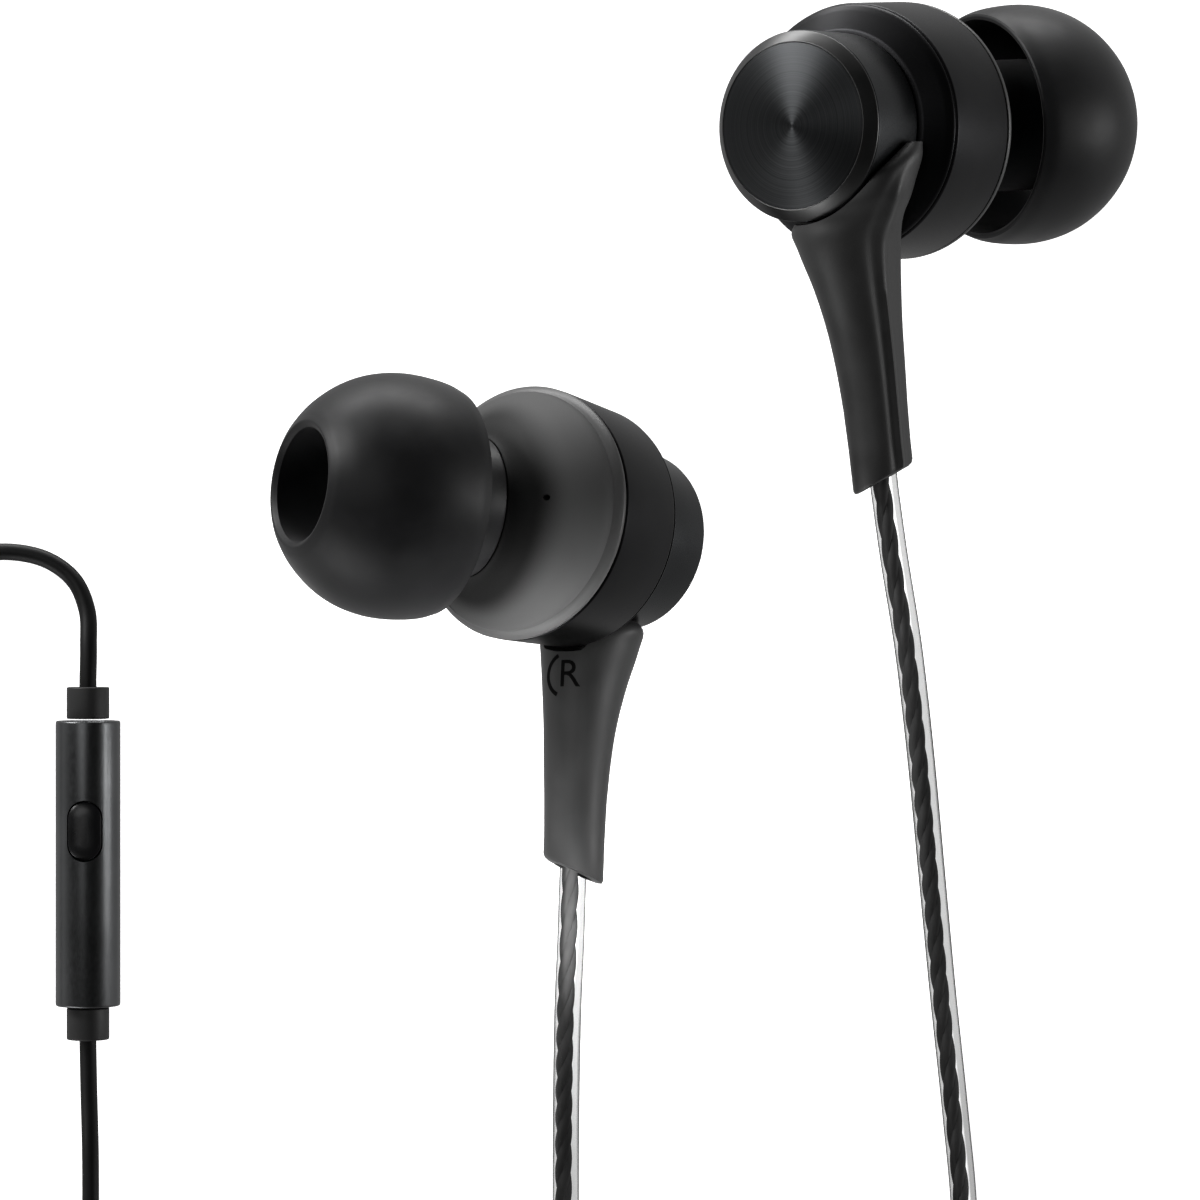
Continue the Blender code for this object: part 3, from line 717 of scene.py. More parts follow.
def carve(target: bpy.types.Object, cutters: list[bpy.types.Object]) -> None:
    """Cut shapes out of a piece for good, and remove the cutters.

    Args:
        target: The piece to cut.
        cutters: The solids to take away.
    """
    for solid in cutters:
        modifier = target.modifiers.new("carve", "BOOLEAN")
        modifier.operation = "DIFFERENCE"
        modifier.solver = "EXACT"
        modifier.object = solid
    bpy.context.view_layer.update()
    graph = bpy.context.evaluated_depsgraph_get()
    data = bpy.data.meshes.new_from_object(target.evaluated_get(graph))
    target.modifiers.clear()
    target.data = data
    data.shade_smooth()
    data.set_sharp_from_angle(angle=CREASE)
    for solid in cutters:
        bpy.data.objects.remove(solid, do_unlink=True)


def use_material(node: str, material: bpy.types.Material) -> None:
    """Give a CAD node a material in place of its own."""
    data = bpy.data.objects[node].data
    data.materials.clear()
    data.materials.append(material)


# ---------------------------------------------------------------- earpieces


@dataclass
class Earpiece:
    """One earpiece, modelled in the frame whose Z is the housing axis and Y runs down the stem."""

    side: str
    place: tuple[float, float, float]
    axis: tuple[float, float, float]
    stem: tuple[float, float]
    finishes: Finishes
    mark: str = ""
    cap_radius: float = 4.7
    cap_face_radius: float = 4.08
    cap_back: float = -5.3
    cap_front: float = -1.22
    rear_radius: float = 6.2
    radius: float = 6.5
    front: float = 4.45
    wall: float = 0.7
    gap: float = 0.12
    nozzle_angle: float = 23.0
    pivot: float = 4.2
    neck_radius: float = 3.55
    neck_end: float = 4.5
    nozzle_radius: float = 2.35
    nozzle_bore: float = 1.7
    nozzle_end: float = 9.5
    barb_radius: float = 2.5
    vent_radius: float = 0.16
    vent_across: float = -3.9
    tip_radius: float = 6.15
    tip_skirt: float = 5.2
    tip_face: float = 12.95
    tip_hole: float = 2.85
    stem_end: float = 17.5
    stem_slope: float = 0.42
    stem_bore: float = 0.78
    stem_mouth: float = 1.02
    tail: tuple[float, float] = (-1.35, 0.45)
    sections: tuple[tuple[float, ...], ...] = (
        (1.5, -1.9, 4.75, 0.5, 0.40), (2.2, -2.3, 4.30, 1.1, 0.85), (3.0, -2.7, 3.40, 1.75, 1.50),
        (4.0, -2.9, 2.00, 2.1, 2.60), (4.9, -2.8, 1.00, 2.2, 3.00), (6.0, -2.4, 0.70, 2.6, 2.55),
        (8.0, -2.0, 0.65, 2.35, 2.10), (10.0, -1.7, 0.60, 2.0, 1.85), (12.0, -1.5, 0.55, 1.8, 1.70),
        (14.0, -1.4, 0.50, 1.65, 1.60), (19.0, -1.35, 0.45, 1.6, 1.55),
    )

    def __post_init__(self) -> None:
        """Work out the frames of the housing and the nozzle."""
        along = Vector(self.axis).normalized()
        down_z = -(along.x * self.stem[0] + along.y * self.stem[1]) / along.z
        down = Vector((*self.stem, down_z)).normalized()
        across = down.cross(along).normalized()
        turn = Matrix((across, down, along)).transposed().to_4x4()
        self.frame = Matrix.Translation(Vector(self.place) * MM) @ turn
        tilt = Matrix.Rotation(math.radians(self.nozzle_angle), 4, "Y")
        self.nozzle = self.frame @ Matrix.Translation((0, 0, self.pivot * MM)) @ tilt

    def build(self) -> None:
        """Build every visible piece of the earpiece."""
        self.build_cap()
        self.build_shells()
        self.build_front()
        self.build_tip()
        self.build_stem()
        LOG.info("%s earpiece built", self.side)

    def name(self, part: str) -> str:
        """Return a node or piece name on this side."""
        return f"{self.side}_{part}"

    def add_turned(
        self, part: str, outline: list, finish: bpy.types.Material, slot: str, *nodes: str,
        place: Matrix | None = None,
    ) -> None:
        """Turn an outline into a settled piece of this side.

        Args:
            part: The piece's name without its side.
            outline: The outline in millimetres.
            finish: Its material.
            slot: Passed on to settle() through turned_piece().
            *nodes: CAD nodes that it replaces, without their side.
            place: Its frame, or None for the housing's.
        """
        names = [self.name(node) for node in nodes]
        frame_at = self.frame if place is None else place
        turned_piece(self.name(part), outline, finish, frame_at, *names, slot=slot)

    def build_cap(self) -> None:
        """Spun cap: a flat lathe-faced disc, a chamfer, a fine lip and a satin wall."""
        face = self.cap_face_radius
        radius = self.cap_radius
        back = self.cap_back
        disc = [(0, back), (face - 0.05, back)]
        disc += [(face - 0.01, back + 0.03), (face - 0.01, back + 0.3), (0, back + 0.3)]
        mesh = turned(disc, closed=False)
        piece = make_piece(self.name("cap_disc"), mesh, self.finishes.cap, self.frame, keep_frame=True)
        settle(piece, BODY, slot="cap")
        inner = radius - 0.6
        bevel = [
            (face, back + 0.02), (face + 0.05, back), (radius - 0.03, back + 0.52),
            (radius - 0.03, back + 0.62), (face, back + 0.5),
        ]
        self.add_turned("cap_bevel", rounded(bevel, 0.03), self.finishes.bevel, "cap")
        wall = [
            (radius - 0.1, back + 0.56), (radius, back + 0.6), (radius, self.cap_front - 0.05),
            (radius - 0.05, self.cap_front), (inner, self.cap_front), (inner, back + 0.6),
        ]
        self.add_turned("cap_wall", rounded(wall, 0.03), self.finishes.cap_side, "cap", "rear_cap")

    def build_shells(self) -> None:
        """Rear cone and middle band, with the eased edges that make the seam line."""
        inner = self.cap_radius - 0.6
        start = self.cap_front + self.gap
        rear = self.rear_radius
        cone = [
            (inner, start), (self.cap_radius - 0.04, start), (self.cap_radius + 0.2, start + 0.04),
            (rear - 0.35, -0.42), (rear - 0.08, -0.2), (rear, -0.06), (rear - self.wall, -0.06),
            (inner, start + 0.5),
        ]
        self.add_turned("shell_rear", rounded(cone, 0.08), self.finishes.housing, "housing", "rear_shell")
        band = [
            (rear - self.wall, 0.02), (rear - 0.03, 0.02), (rear + 0.05, 0.12),
            (self.radius, self.front - 0.06), (self.radius - 0.05, self.front),
            (self.radius - self.wall, self.front),
        ]
        self.add_turned("shell_band", rounded(band, 0.04), self.finishes.housing, "housing", "mid_housing")

    def front_ring(self, mesh: bmesh.types.BMesh, tilt: float, along: float, radius: float) -> list:
        """Add a ring of the front housing.

        Args:
            mesh: The mesh to add to.
            tilt: Degrees from the housing axis towards the nozzle axis.
            along: Distance from the nozzle's pivot.
            radius: The ring's radius.

        Returns:
            Its vertices.
        """
        angle = math.radians(tilt)
        direction = Vector((math.sin(angle), 0, math.cos(angle)))
        across = Vector((math.cos(angle), 0, -math.sin(angle)))
        centre = Vector((0, 0, self.pivot)) + direction * along
        return add_ring(mesh, centre, across, Vector((0, 1, 0)), radius, 128)

    def build_front(self) -> None:
        """Front dome with its chamfered rim and vent, and the neck and nozzle."""
        rim = self.front + self.gap - self.pivot
        tilt = self.nozzle_angle
        # Each ring: tilt in degrees, distance from the pivot, radius.
        skyline = (
            (0, rim + 0.56, self.radius - 0.26), (0.22 * tilt, rim + 0.98, 5.95),
            (0.5 * tilt, rim + 1.5, 5.35), (0.8 * tilt, rim + 2.05, 4.55),
            (tilt, rim + 2.5, self.neck_radius + 0.28), (tilt, rim + 2.75, self.neck_radius + 0.02),
        )
        self.build_rim(rim)
        rings = [
            (0, rim + 0.1, self.radius - self.wall), (0, rim + 0.1, self.radius - 0.42),
            (0, rim + 0.58, self.radius - 0.34), *catmull(skyline)[3:],
            (tilt, rim + 2.75, self.nozzle_bore), (tilt, rim + 2.2, self.nozzle_bore),
            (0.7 * tilt, rim + 1.2, 4.2), (0.2 * tilt, rim + 0.55, 5.4),
        ]
        mesh = bmesh.new()
        skin(mesh, [self.front_ring(mesh, *ring) for ring in rings], closed=True)
        nozzle_axis = self.nozzle.to_3x3() @ Vector((0, 0, 1))
        centre = self.nozzle.translation / MM
        # The dome's colour carries a painted shadow that darkens it round the neck.
        finish = BlastedDomePaintedShadow(f"blasted_dome_painted_shadow_{self.side}", tuple(centre), tuple(nozzle_axis)).build()
        dome = make_piece(self.name("front_dome"), mesh, finish, self.frame)
        hole = [(0, 4), (self.vent_radius, 4), (self.vent_radius, 9), (0, 9)]
        beside = self.frame @ Matrix.Translation((self.vent_across * MM, 0, 0))
        carve(dome, [cutter(hole, beside, finish, 24, "Z")])
        settle(dome, BODY, slot="front")
        self.build_neck(rim)

    def build_rim(self, rim: float) -> None:
        """Bevelled ring round the dome.

        Args:
            rim: Height of its back above the nozzle's pivot.
        """
        base = self.pivot + rim
        edge = self.radius
        shoulder = (
            (edge, base + 0.2), (edge - 0.08, base + 0.34),
            (edge - 0.2, base + 0.5), (edge - 0.36, base + 0.63),
        )
        outline = [(edge - 0.4, base), (edge - 0.03, base), (edge, base + 0.04), *catmull(shoulder, 4)]
        # Its finish's lighter colour is partly a painted highlight of the dome's rounded edge.
        self.add_turned("rim_bevel", [*outline, (edge - 0.4, base + 0.6)], self.finishes.rim, "front")

    def build_neck(self, rim: float) -> None:
        """Neck and the barbed nozzle that carries the tip.

        Args:
            rim: Height of the dome's rim above the nozzle's pivot.
        """
        neck = self.neck_radius
        end = self.nozzle_end
        outline = [
            (self.nozzle_bore, rim + 2.8), (neck - 0.03, rim + 2.8), (neck, rim + 2.85),
            (neck, self.neck_end - 0.1), (neck - 0.1, self.neck_end), (self.nozzle_radius, self.neck_end),
            (self.nozzle_radius, end - 1.1), (self.barb_radius, end - 1.0), (self.barb_radius, end - 0.8),
            (self.nozzle_radius - 0.1, end), (self.nozzle_bore, end),
        ]
        finish = self.finishes.neck
        self.add_turned("neck", rounded(outline, 0.06), finish, "front", "front_housing", place=self.nozzle)

    def build_tip(self) -> None:
        """Silicone tip: thin skirt, domed wall, rolled mouth and the core that grips the nozzle."""
        skirt = self.tip_skirt
        hole = self.tip_hole
        face = self.tip_face
        grip = self.barb_radius + 0.06
        foot = self.neck_end + 0.2
        outer = (
            (5.74, skirt + 0.06), (6.0, skirt + 0.85), (self.tip_radius, skirt + 2.2), (6.1, skirt + 3.4),
            (5.82, skirt + 4.6), (5.3, skirt + 5.7), (4.55, skirt + 6.7), (3.78, skirt + 7.4),
            (3.32, face - 0.06),
        )
        mouth = ((3.32, face - 0.06), (3.12, face), (hole, face - 0.2))
        end = self.nozzle_end
        core = [(hole - 0.05, end + 0.4), (grip, end + 0.1), (grip, foot), (3.35, foot)]
        under = (
            (3.38, 10.6), (3.85, 11.25), (4.5, 11.1), (5.15, 10.3), (5.55, 9.1), (5.72, 7.7), (5.64, 6.3),
            (5.46, skirt + 0.06),
        )
        lip = ((5.46, skirt + 0.06), (5.6, skirt), (5.74, skirt + 0.06))
        outline = catmull(outer, 6) + catmull(mouth, 4)[1:] + core + catmull(under, 5) + catmull(lip, 3)[1:-1]
        body = self.name("tip")
        node = self.name("ear_tip")
        turned_piece(body, outline, self.finishes.tip, self.nozzle, node, slot="tip", body=body, sides=144)

    def stem_point(self, section: tuple[float, ...], angle: float) -> Vector:
        """Return a point on the stem's skin.

        Args:
            section: Distance down, centre and half sizes, along the axis and across it.
            angle: Angle round the section in radians, from across towards the housing axis.

        Returns:
            The point in the earpiece frame, in millimetres.
        """
        down, along, across, half_along, half_across = section
        relief = 0.0
        fade = min(1.0, max(0.0, (down - 2.5) / 3))
        # A crease, a ridge and a hollow facet: angle and width in degrees, and height.
        for centre, width, height in ((-32, 6, -0.06), (-18, 6, 0.16), (8, 18, -0.12)):
            offset = (math.degrees(angle) - centre + 180) % 360 - 180
            relief += height * math.exp(-((offset / width) ** 2))
        scale = 1 + fade * relief / max(half_along, 0.8)
        x = across + half_across * math.cos(angle) * scale
        z = along + half_along * math.sin(angle) * scale
        y = down
        if down > self.stem_end:
            y = self.stem_end - self.stem_slope * (0.56 * z + 0.82 * x)
        return Vector((x, y, z))

    def build_stem(self) -> None:
        """Strain relief: a saddle round the cap, a ridge down one side and a slanted open end."""
        finish = self.finishes.stem
        last = self.sections[-1]
        rows = [(tuple(section), 0.0) for section in catmull(self.sections[:-1], 5)]
        rows.append(((self.stem_end - 1.6, *last[1:]), 0.0))
        # The open end has a small rounded lip: inset, and distance short of the end.
        for inset, short in ((0.0, 0.24), (0.07, 0.07), (0.24, 0.0)):
            rows.append(((*last[:3], last[3] - inset, last[4] - inset), short))
        mesh = bmesh.new()
        loops = []
        for section, short in rows:
            points = [self.stem_point(section, a) - Vector((0, short, 0)) for a in around(96)]
            loops.append([mesh.verts.new(point) for point in points])
        skin(mesh, loops)
        stem = make_piece(self.name("stem"), mesh, finish, self.frame)
        hug = self.cap_radius + 0.16
        saddle = [
            (0, -7.0), (hug, -7.0), (hug, self.cap_front + 0.05), (self.rear_radius + 0.25, -0.05),
            (self.radius + 0.3, 2.5), (0, 2.5),
        ]
        beyond = self.stem_end + 4.5
        deep = self.stem_end - 1.2
        bore = [(0, 2.0), (self.stem_bore, 2.0), (self.stem_bore, beyond), (0, beyond)]
        wide = self.stem_mouth
        mouth = [(0, deep), (0.8, deep), (wide, deep + 0.3), (wide, beyond), (0, beyond)]
        tail = self.frame @ Matrix.Translation((self.tail[1] * MM, 0, self.tail[0] * MM))
        solids = [cutter(saddle, self.frame, finish, 128, "Z"), cutter(bore, tail, finish)]
        carve(stem, [*solids, cutter(mouth, tail, finish)])
        settle(stem, BODY, self.name("strain_relief"), slot="stem")
        if self.mark:
            self.build_mark(stem)

    def build_mark(self, stem: bpy.types.Object) -> None:
        """Side letter and its round bracket, laid onto the stem's front as a near-black sheet that paints the
        shade of an engraving.

        Args:
            stem: The strain relief that carries them.
        """
        letters = bpy.data.curves.new(self.name("side_letter"), "FONT")
        letters.body = self.mark
        letters.size = 2.0
        letters.align_x = "CENTER"
        letters.align_y = "CENTER"
        text = bpy.data.objects.new(self.name("side_letter_source"), letters)
        bpy.context.scene.collection.objects.link(text)
        bpy.context.view_layer.update()
        data = bpy.data.meshes.new_from_object(text.evaluated_get(bpy.context.evaluated_depsgraph_get()))
        bpy.data.objects.remove(text, do_unlink=True)
        mesh = bmesh.new()
        mesh.from_mesh(data)
        bpy.data.meshes.remove(data)
        # The bracket: an arc of 124 degrees round the letter's left side.
        steps = 24
        angles = [math.radians(118 + 124 * i / steps) for i in range(steps + 1)]
        arcs = []
        for radius in (1.24, 1.04):
            arc = [(radius * math.cos(a) - 0.1, radius * math.sin(a), 0) for a in angles]
            arcs.append([mesh.verts.new(point) for point in arc])
        for i in range(steps):
            mesh.faces.new([arcs[0][i], arcs[0][i + 1], arcs[1][i + 1], arcs[1][i]])
        bmesh.ops.triangulate(mesh, faces=mesh.faces)
        bmesh.ops.subdivide_edges(mesh, edges=mesh.edges, cuts=1)
        # Where it sits: angle round the stem, and the section there.
        angle = math.radians(108)
        section = (7.7, -2.06, 0.66, 2.4, 2.19)
        spot = self.stem_point(section, angle)
        ahead = self.stem_point(section, angle - 0.02) - self.stem_point(section, angle + 0.02)
        right = (self.frame.to_3x3() @ ahead).normalized()
        right = right if right.x > 0 else -right
        up = self.frame.to_3x3() @ Vector((0, -1, 0))
        out = right.cross(up).normalized()
        at = self.frame @ (spot * MM)
        tree = BVHTree.FromObject(stem, bpy.context.evaluated_depsgraph_get())
        reach = out * 3 * MM
        for vert in mesh.verts:
            start = at + (right * vert.co.x + up * vert.co.y) * MM + reach
            hit = tree.ray_cast(start, -out)[0] or start - reach
            vert.co = (hit + out * 0.012 * MM) / MM
        # The near-black finish is painted shade: the sheet sits just above the rubber, not in a recess.
        piece = make_piece(self.name("side_letter"), mesh, self.finishes.mark, shading=Shading.FLAT)
        settle(piece, BODY, slot="stem")

    def cord_start(self) -> list[Vector]:
        """Return two points inside the stem's open end, and the one where the cord leaves it."""
        line = [Vector((self.tail[1], self.stem_end + ahead, self.tail[0])) for ahead in (-1.5, 0.3, 0.9)]
        return [self.frame @ (p * MM) / MM for p in line]


# ---------------------------------------------------------------- cords


@dataclass(frozen=True)
class Coil:
    """A stored coil: turns laid side by side and on each other."""

    centre_x: float
    middle: float
    columns: int
    turns: int
    extra: float = 0.0
    rise: float = 0.0
    pitch: float = 1.4
    per_turn: int = 30

    def slot(self, turn: int) -> tuple[float, float]:
        """Return the radius and height of a turn, wound out and back, layer on layer."""
        layer, index = divmod(turn, self.columns)
        column = index if layer % 2 == 0 else self.columns - 1 - index
        radius = self.middle + self.pitch * ((self.columns - 1) / 2 - column)
        return radius, COIL_BASE + self.pitch * (layer + 0.5)

    def points(self) -> list[Vector]:
        """Return the coil's line, starting on its left side and running anticlockwise."""
        result = []
        total = self.turns + self.extra
        for i in range(round(total * self.per_turn) + 1):
            travelled = min(i / self.per_turn, total)
            turn = min(int(travelled), self.turns - 1)
            part = travelled - turn
            radius, height = self.slot(turn)
            # Each turn shifts to the next one's place over its last fifth.
            if part > 0.8 and turn < self.turns - 1:
                t = (part - 0.8) / 0.2
                t = t * t * (3 - 2 * t)
                next_radius, next_height = self.slot(turn + 1)
                radius += (next_radius - radius) * t
                height += (next_height - height) * t
            if travelled > self.turns:
                height += self.rise * (travelled - self.turns) / self.extra
            angle = math.pi + 2 * math.pi * travelled
            across = self.centre_x + radius * math.cos(angle)
            result.append(Vector((across, COIL_Y + radius * math.sin(angle), height)))
        return result


LEFT_COIL = Coil(23.05, 8.0, 3, 6)
RIGHT_COIL = Coil(1.95, 8.0, 3, 7)
MAIN_COIL = Coil(-25.4, 5.4, 5, 20, extra=0.25, rise=1.2, pitch=0.9)


def even_path(points: list[Vector], spacing: float) -> np.ndarray:
    """Return points at even distances along a polyline.

    Args:
        points: The polyline, in millimetres.
        spacing: Wanted distance between points.

    Returns:
        An array of points.
    """
    line = np.array([tuple(p) for p in points])
    steps = np.linalg.norm(np.diff(line, axis=0), axis=1)
    line = line[np.concatenate(([True], steps > 1e-4))]
    travelled = np.concatenate(([0.0], np.cumsum(np.linalg.norm(np.diff(line, axis=0), axis=1))))
    wanted = np.linspace(0, travelled[-1], max(2, round(travelled[-1] / spacing)))
    return np.stack([np.interp(wanted, travelled, line[:, k]) for k in range(3)], axis=1)


def path_frames(path: np.ndarray) -> tuple[np.ndarray, np.ndarray]:
    """Carry two directions across a path along it without twisting.

    Args:
        path: Points of the centreline.

    Returns:
        The two directions at each point.
    """
    tangents = np.gradient(path, axis=0)
    tangents /= np.linalg.norm(tangents, axis=1)[:, None]
    across = np.zeros_like(path)
    start = np.cross(tangents[0], (0.0, 0.0, 1.0))
    across[0] = start / np.linalg.norm(start)
    for i in range(1, len(path)):
        carried = across[i - 1] - tangents[i] * np.dot(across[i - 1], tangents[i])
        across[i] = carried / np.linalg.norm(carried)
    return across, np.cross(tangents, across)


def swept(rings: np.ndarray) -> bmesh.types.BMesh:
    """Join rings of points into a capped tube.

    Args:
        rings: Array of points, by place along the tube and then round the ring.

    Returns:
        The mesh in millimetres.
    """
    mesh = bmesh.new()
    skin(mesh, [[mesh.verts.new(p) for p in ring] for ring in rings])
    return mesh


def tube_rings(
    path: np.ndarray, radius: float, sides: int, offset: float = 0.0, pitch: float = 1.0,
    phase: float = 0.0, spacing: float = 1.0,
) -> np.ndarray:
    """Return the rings of a tube that follows a path, or winds round it.

    Args:
        path: Points of the centreline.
        radius: The tube's radius.
        sides: Points round it.
        offset: Distance from the centreline, for a twisted strand.
        pitch: Length of one full twist.
        phase: The strand's starting angle.
        spacing: Distance between the path's points.

    Returns:
        The rings.
    """
    across, over = path_frames(path)
    angle = phase + 2 * math.pi * spacing * np.arange(len(path)) / pitch
    outward = across * np.cos(angle)[:, None] + over * np.sin(angle)[:, None]
    centre = path + outward * offset
    round_angles = np.linspace(0, 2 * math.pi, sides, endpoint=False)
    ring = across[:, None, :] * np.cos(round_angles)[None, :, None]
    ring = ring + over[:, None, :] * np.sin(round_angles)[None, :, None]
    return centre[:, None, :] + ring * radius


@dataclass
class Cord:
    """One free cord: a clear jacket over three twisted strands, or a plain black one."""

    name: str
    route: list[Vector]
    finishes: Finishes
    replaces: tuple[str, ...]
    length: float
    far_end: str
    ends: tuple[str, ...] = ()
    clear: bool = True
    diameter: float = 1.4
    strand_radius: float = 0.29
    strand_offset: float = 0.16
    strand_shift: float = 0.12
    twist: float = 5.4
    spacing: float = 0.3

    def build(self) -> None:
        spacing = self.spacing
        path = even_path(self.route, spacing)
        finish = self.finishes.jacket if self.clear else self.finishes.black_jacket
        mesh = swept(tube_rings(path, self.diameter / 2, 24))
        jacket = make_piece(self.name + "_jacket", mesh, finish, shading=Shading.SMOOTH)
        settle(jacket, BODY, *self.replaces, slot="cord" if self.clear else "black_cord")
        pieces = list(self.ends)
        if self.clear:
            pieces.append(self.strands(path, spacing))
        measured = float(np.linalg.norm(np.diff(path, axis=0), axis=1).sum()) * MM
        LOG.info("%s: %.3f m for %.3f m", self.name, measured, self.length)

    def strands(self, path: np.ndarray, spacing: float) -> bpy.types.Object:
        """Build the three twisted conductors inside a clear jacket.

        Args:
            path: Points of the centreline.
            spacing: Distance between them.

        Returns:
            The strands' piece.
        """
        core = bmesh.new()
        path = path + path_frames(path)[0] * self.strand_shift
        for phase in around(3):
            part = swept(
                tube_rings(path, self.strand_radius, 10, self.strand_offset, self.twist, phase, spacing)
            )
            data = bpy.data.meshes.new("strand")
            part.to_mesh(data)
            part.free()
            core.from_mesh(data)
            bpy.data.meshes.remove(data)
        made = make_piece(self.name + "_strands", core, self.finishes.core, shading=Shading.SMOOTH)
        return settle(made, BODY, slot="cord")


@dataclass
class Ties:
    """Nylon ties round the stored coils."""

    finishes: Finishes
    half_width: float = 1.15
    thickness: float = 0.33
    slack: float = 0.32
    turns: tuple[tuple[str, Coil, int, float], ...] = (
        ("left_cord_tie", LEFT_COIL, 2, -20.0), ("right_cord_tie", RIGHT_COIL, 3, 60.0),
        ("main_cord_tie", MAIN_COIL, 4, 80.0),
    )

    def build(self) -> None:
        """Build one strap round each coil, at its own angle."""
        for name, coil, layers, turn in self.turns:
            half = coil.columns * coil.pitch / 2 + self.slack
            low = COIL_BASE - 0.3
            high = COIL_BASE + layers * coil.pitch + self.slack
            mesh = bmesh.new()
            rings = []
            for y, grown in ((-1, self.thickness), (1, self.thickness), (1, 0.0), (-1, 0.0)):
                wide = half + grown
                under, over = low - grown, high + grown
                corners = [(-wide, under), (wide, under), (wide, over), (-wide, over)]
                shape = rounded(corners, 0.5, 5)
                rings.append([mesh.verts.new((coil.middle + p.x, y * self.half_width, p.y)) for p in shape])
            skin(mesh, rings, closed=True)
            spin = Matrix.Rotation(math.radians(turn), 4, "Z")
            place = Matrix.Translation((coil.centre_x * MM, COIL_Y * MM, 0)) @ spin
            strap = make_piece(name + "_strap", mesh, self.finishes.tie, place)
            settle(strap, BODY, name, slot="tie")
        LOG.info("ties built")


# ---------------------------------------------------------------- remote, splitter, plug


@dataclass
class Remote:
    """In-line remote: satin tube, two rubber collars and one pad button."""

    finishes: Finishes
    place: tuple[float, float, float] = (-32.6, -21.85, 1.72)
    radius: float = 1.7
    length: float = 15.0
    wall: float = 0.3
    collar_radius: float = 1.12
    collar_length: float = 1.65
    button_y: float = 1.75
    button_width: float = 1.75
    button_length: float = 3.1
    mic_y: float = -4.2
    mic_radius: float = 0.16

    def pad(
        self, width: float, length: float, top: float, depth: float, crown: float = 0.0
    ) -> bmesh.types.BMesh:
        """Return a pad with round ends and an eased, slightly crowned top.

        Args:
            width: Width across.
            length: Length along the tube.
            top: Height of its top.
            depth: How far down it goes.
            crown: Rise of the middle above the top.

        Returns:
            The mesh in millimetres.
        """
        mesh = bmesh.new()
        rings = []
        levels = ((0.0, -depth), (0.0, -0.12), (0.03, -0.04), (0.1, 0.0), (0.4, crown * 0.8), (0.7, crown))
        straight = (length - width) / 2
        steps = 16
        for inset, height in levels:
            half = width / 2 - inset
            ring = []
            for end, start in ((1, 0.0), (-1, math.pi)):
                for i in range(steps + 1):
                    angle = start + math.pi * i / steps
                    y = end * straight + half * math.sin(angle)
                    ring.append(mesh.verts.new((half * math.cos(angle), y, top + height)))
            rings.append(ring)
        skin(mesh, rings)
        return mesh

    def build(self) -> None:
        """Build the remote's visible pieces."""
        frame_at = Matrix.Translation(Vector(self.place) * MM)
        half = self.length / 2
        inner = self.radius - self.wall
        outline = rounded([(inner, -half), (self.radius, -half), (self.radius, half), (inner, half)], 0.12)
        finish = self.finishes.remote
        shell = make_piece("remote_tube", turned(outline, 128, True, "Y"), finish, frame_at)
        well = self.pad(self.button_width + 0.12, self.button_length + 0.12, 2.4, 2.0)
        button_at = frame_at @ Matrix.Translation((0, self.button_y * MM, 0))
        mic = self.mic_radius
        mic_at = frame_at @ Matrix.Translation((0, self.mic_y * MM, 0))
        hole = cutter([(0, -2.2), (mic, -2.2), (mic, -1), (0, -1)], mic_at, finish, 24, "Z")
        carve(shell, [make_piece("well_cutter", well, finish, button_at), hole])
        settle(shell, BODY, "remote_shell", slot="remote")
        pad = self.pad(self.button_width, self.button_length, 1.58, 0.6, 0.1)
        button = make_piece("button_pad", pad, self.finishes.button, button_at)
        settle(button, "button", "remote_button", slot="button")
        bore = CORD_BORE
        wide = self.collar_radius
        for end, name in ((1, "remote_upper_collar"), (-1, "remote_lower_collar")):
            start = end * (half + 0.1)
            stop = end * (half + 0.12 + self.collar_length)
            ring = rounded([(bore, start), (wide, start), (wide, stop), (bore, stop)], 0.08)
            finish = self.finishes.collar
            turned_piece(name + "_sleeve", ring, finish, frame_at, name, slot="collar", sides=96, axis="Y")
        LOG.info("remote built")


@dataclass
class Splitter:
    """Block that joins the earpiece cords, with grip grooves, and its tapered boot."""

    finishes: Finishes
    place: tuple[float, float, float] = (-19.2, -68.8, 1.4)
    half: tuple[float, float, float] = (4.6, 2.2, 1.38)
    ease: float = 0.5
    groove: float = 0.12
    grip: float = 2.4

    def build(self) -> None:
        """Build the block and the boot."""
        frame_at = Matrix.Translation(Vector(self.place) * MM)
        mesh = bmesh.new()
        rings = []
        rows = 40
        for i in range(rows + 1):
            x = -self.half[0] + 2 * self.half[0] * i / rows
            edge = max(0.0, abs(x) - (self.half[0] - self.ease)) / self.ease
            shrink = 1 - 0.16 * (1 - math.sqrt(max(0.0, 1 - edge**2)))
            groove = self.groove if abs(x) < self.grip and i % 4 == 0 else 0.0
            ring = []
            for angle in around(48):
                c, s = math.cos(angle), math.sin(angle)
                y = (self.half[1] * shrink - groove) * math.copysign(abs(c) ** 0.4, c)
                z = (self.half[2] * shrink - groove) * math.copysign(abs(s) ** 0.4, s)
                ring.append(mesh.verts.new((x, y, z)))
            rings.append(ring)
        skin(mesh, rings)
        block = make_piece("splitter_block", mesh, self.finishes.splitter, frame_at)
        settle(block, BODY, "splitter_shell", slot="splitter")
        boot = rounded([(CORD_BORE, -7.9), (1.0, -7.9), (1.3, -4.72), (CORD_BORE, -4.72)], 0.08)
        finish = self.finishes.collar
        turned_piece(
            "splitter_sleeve", boot, finish, frame_at, "splitter_boot", slot="collar", sides=64, axis="X"
        )
        LOG.info("splitter built")


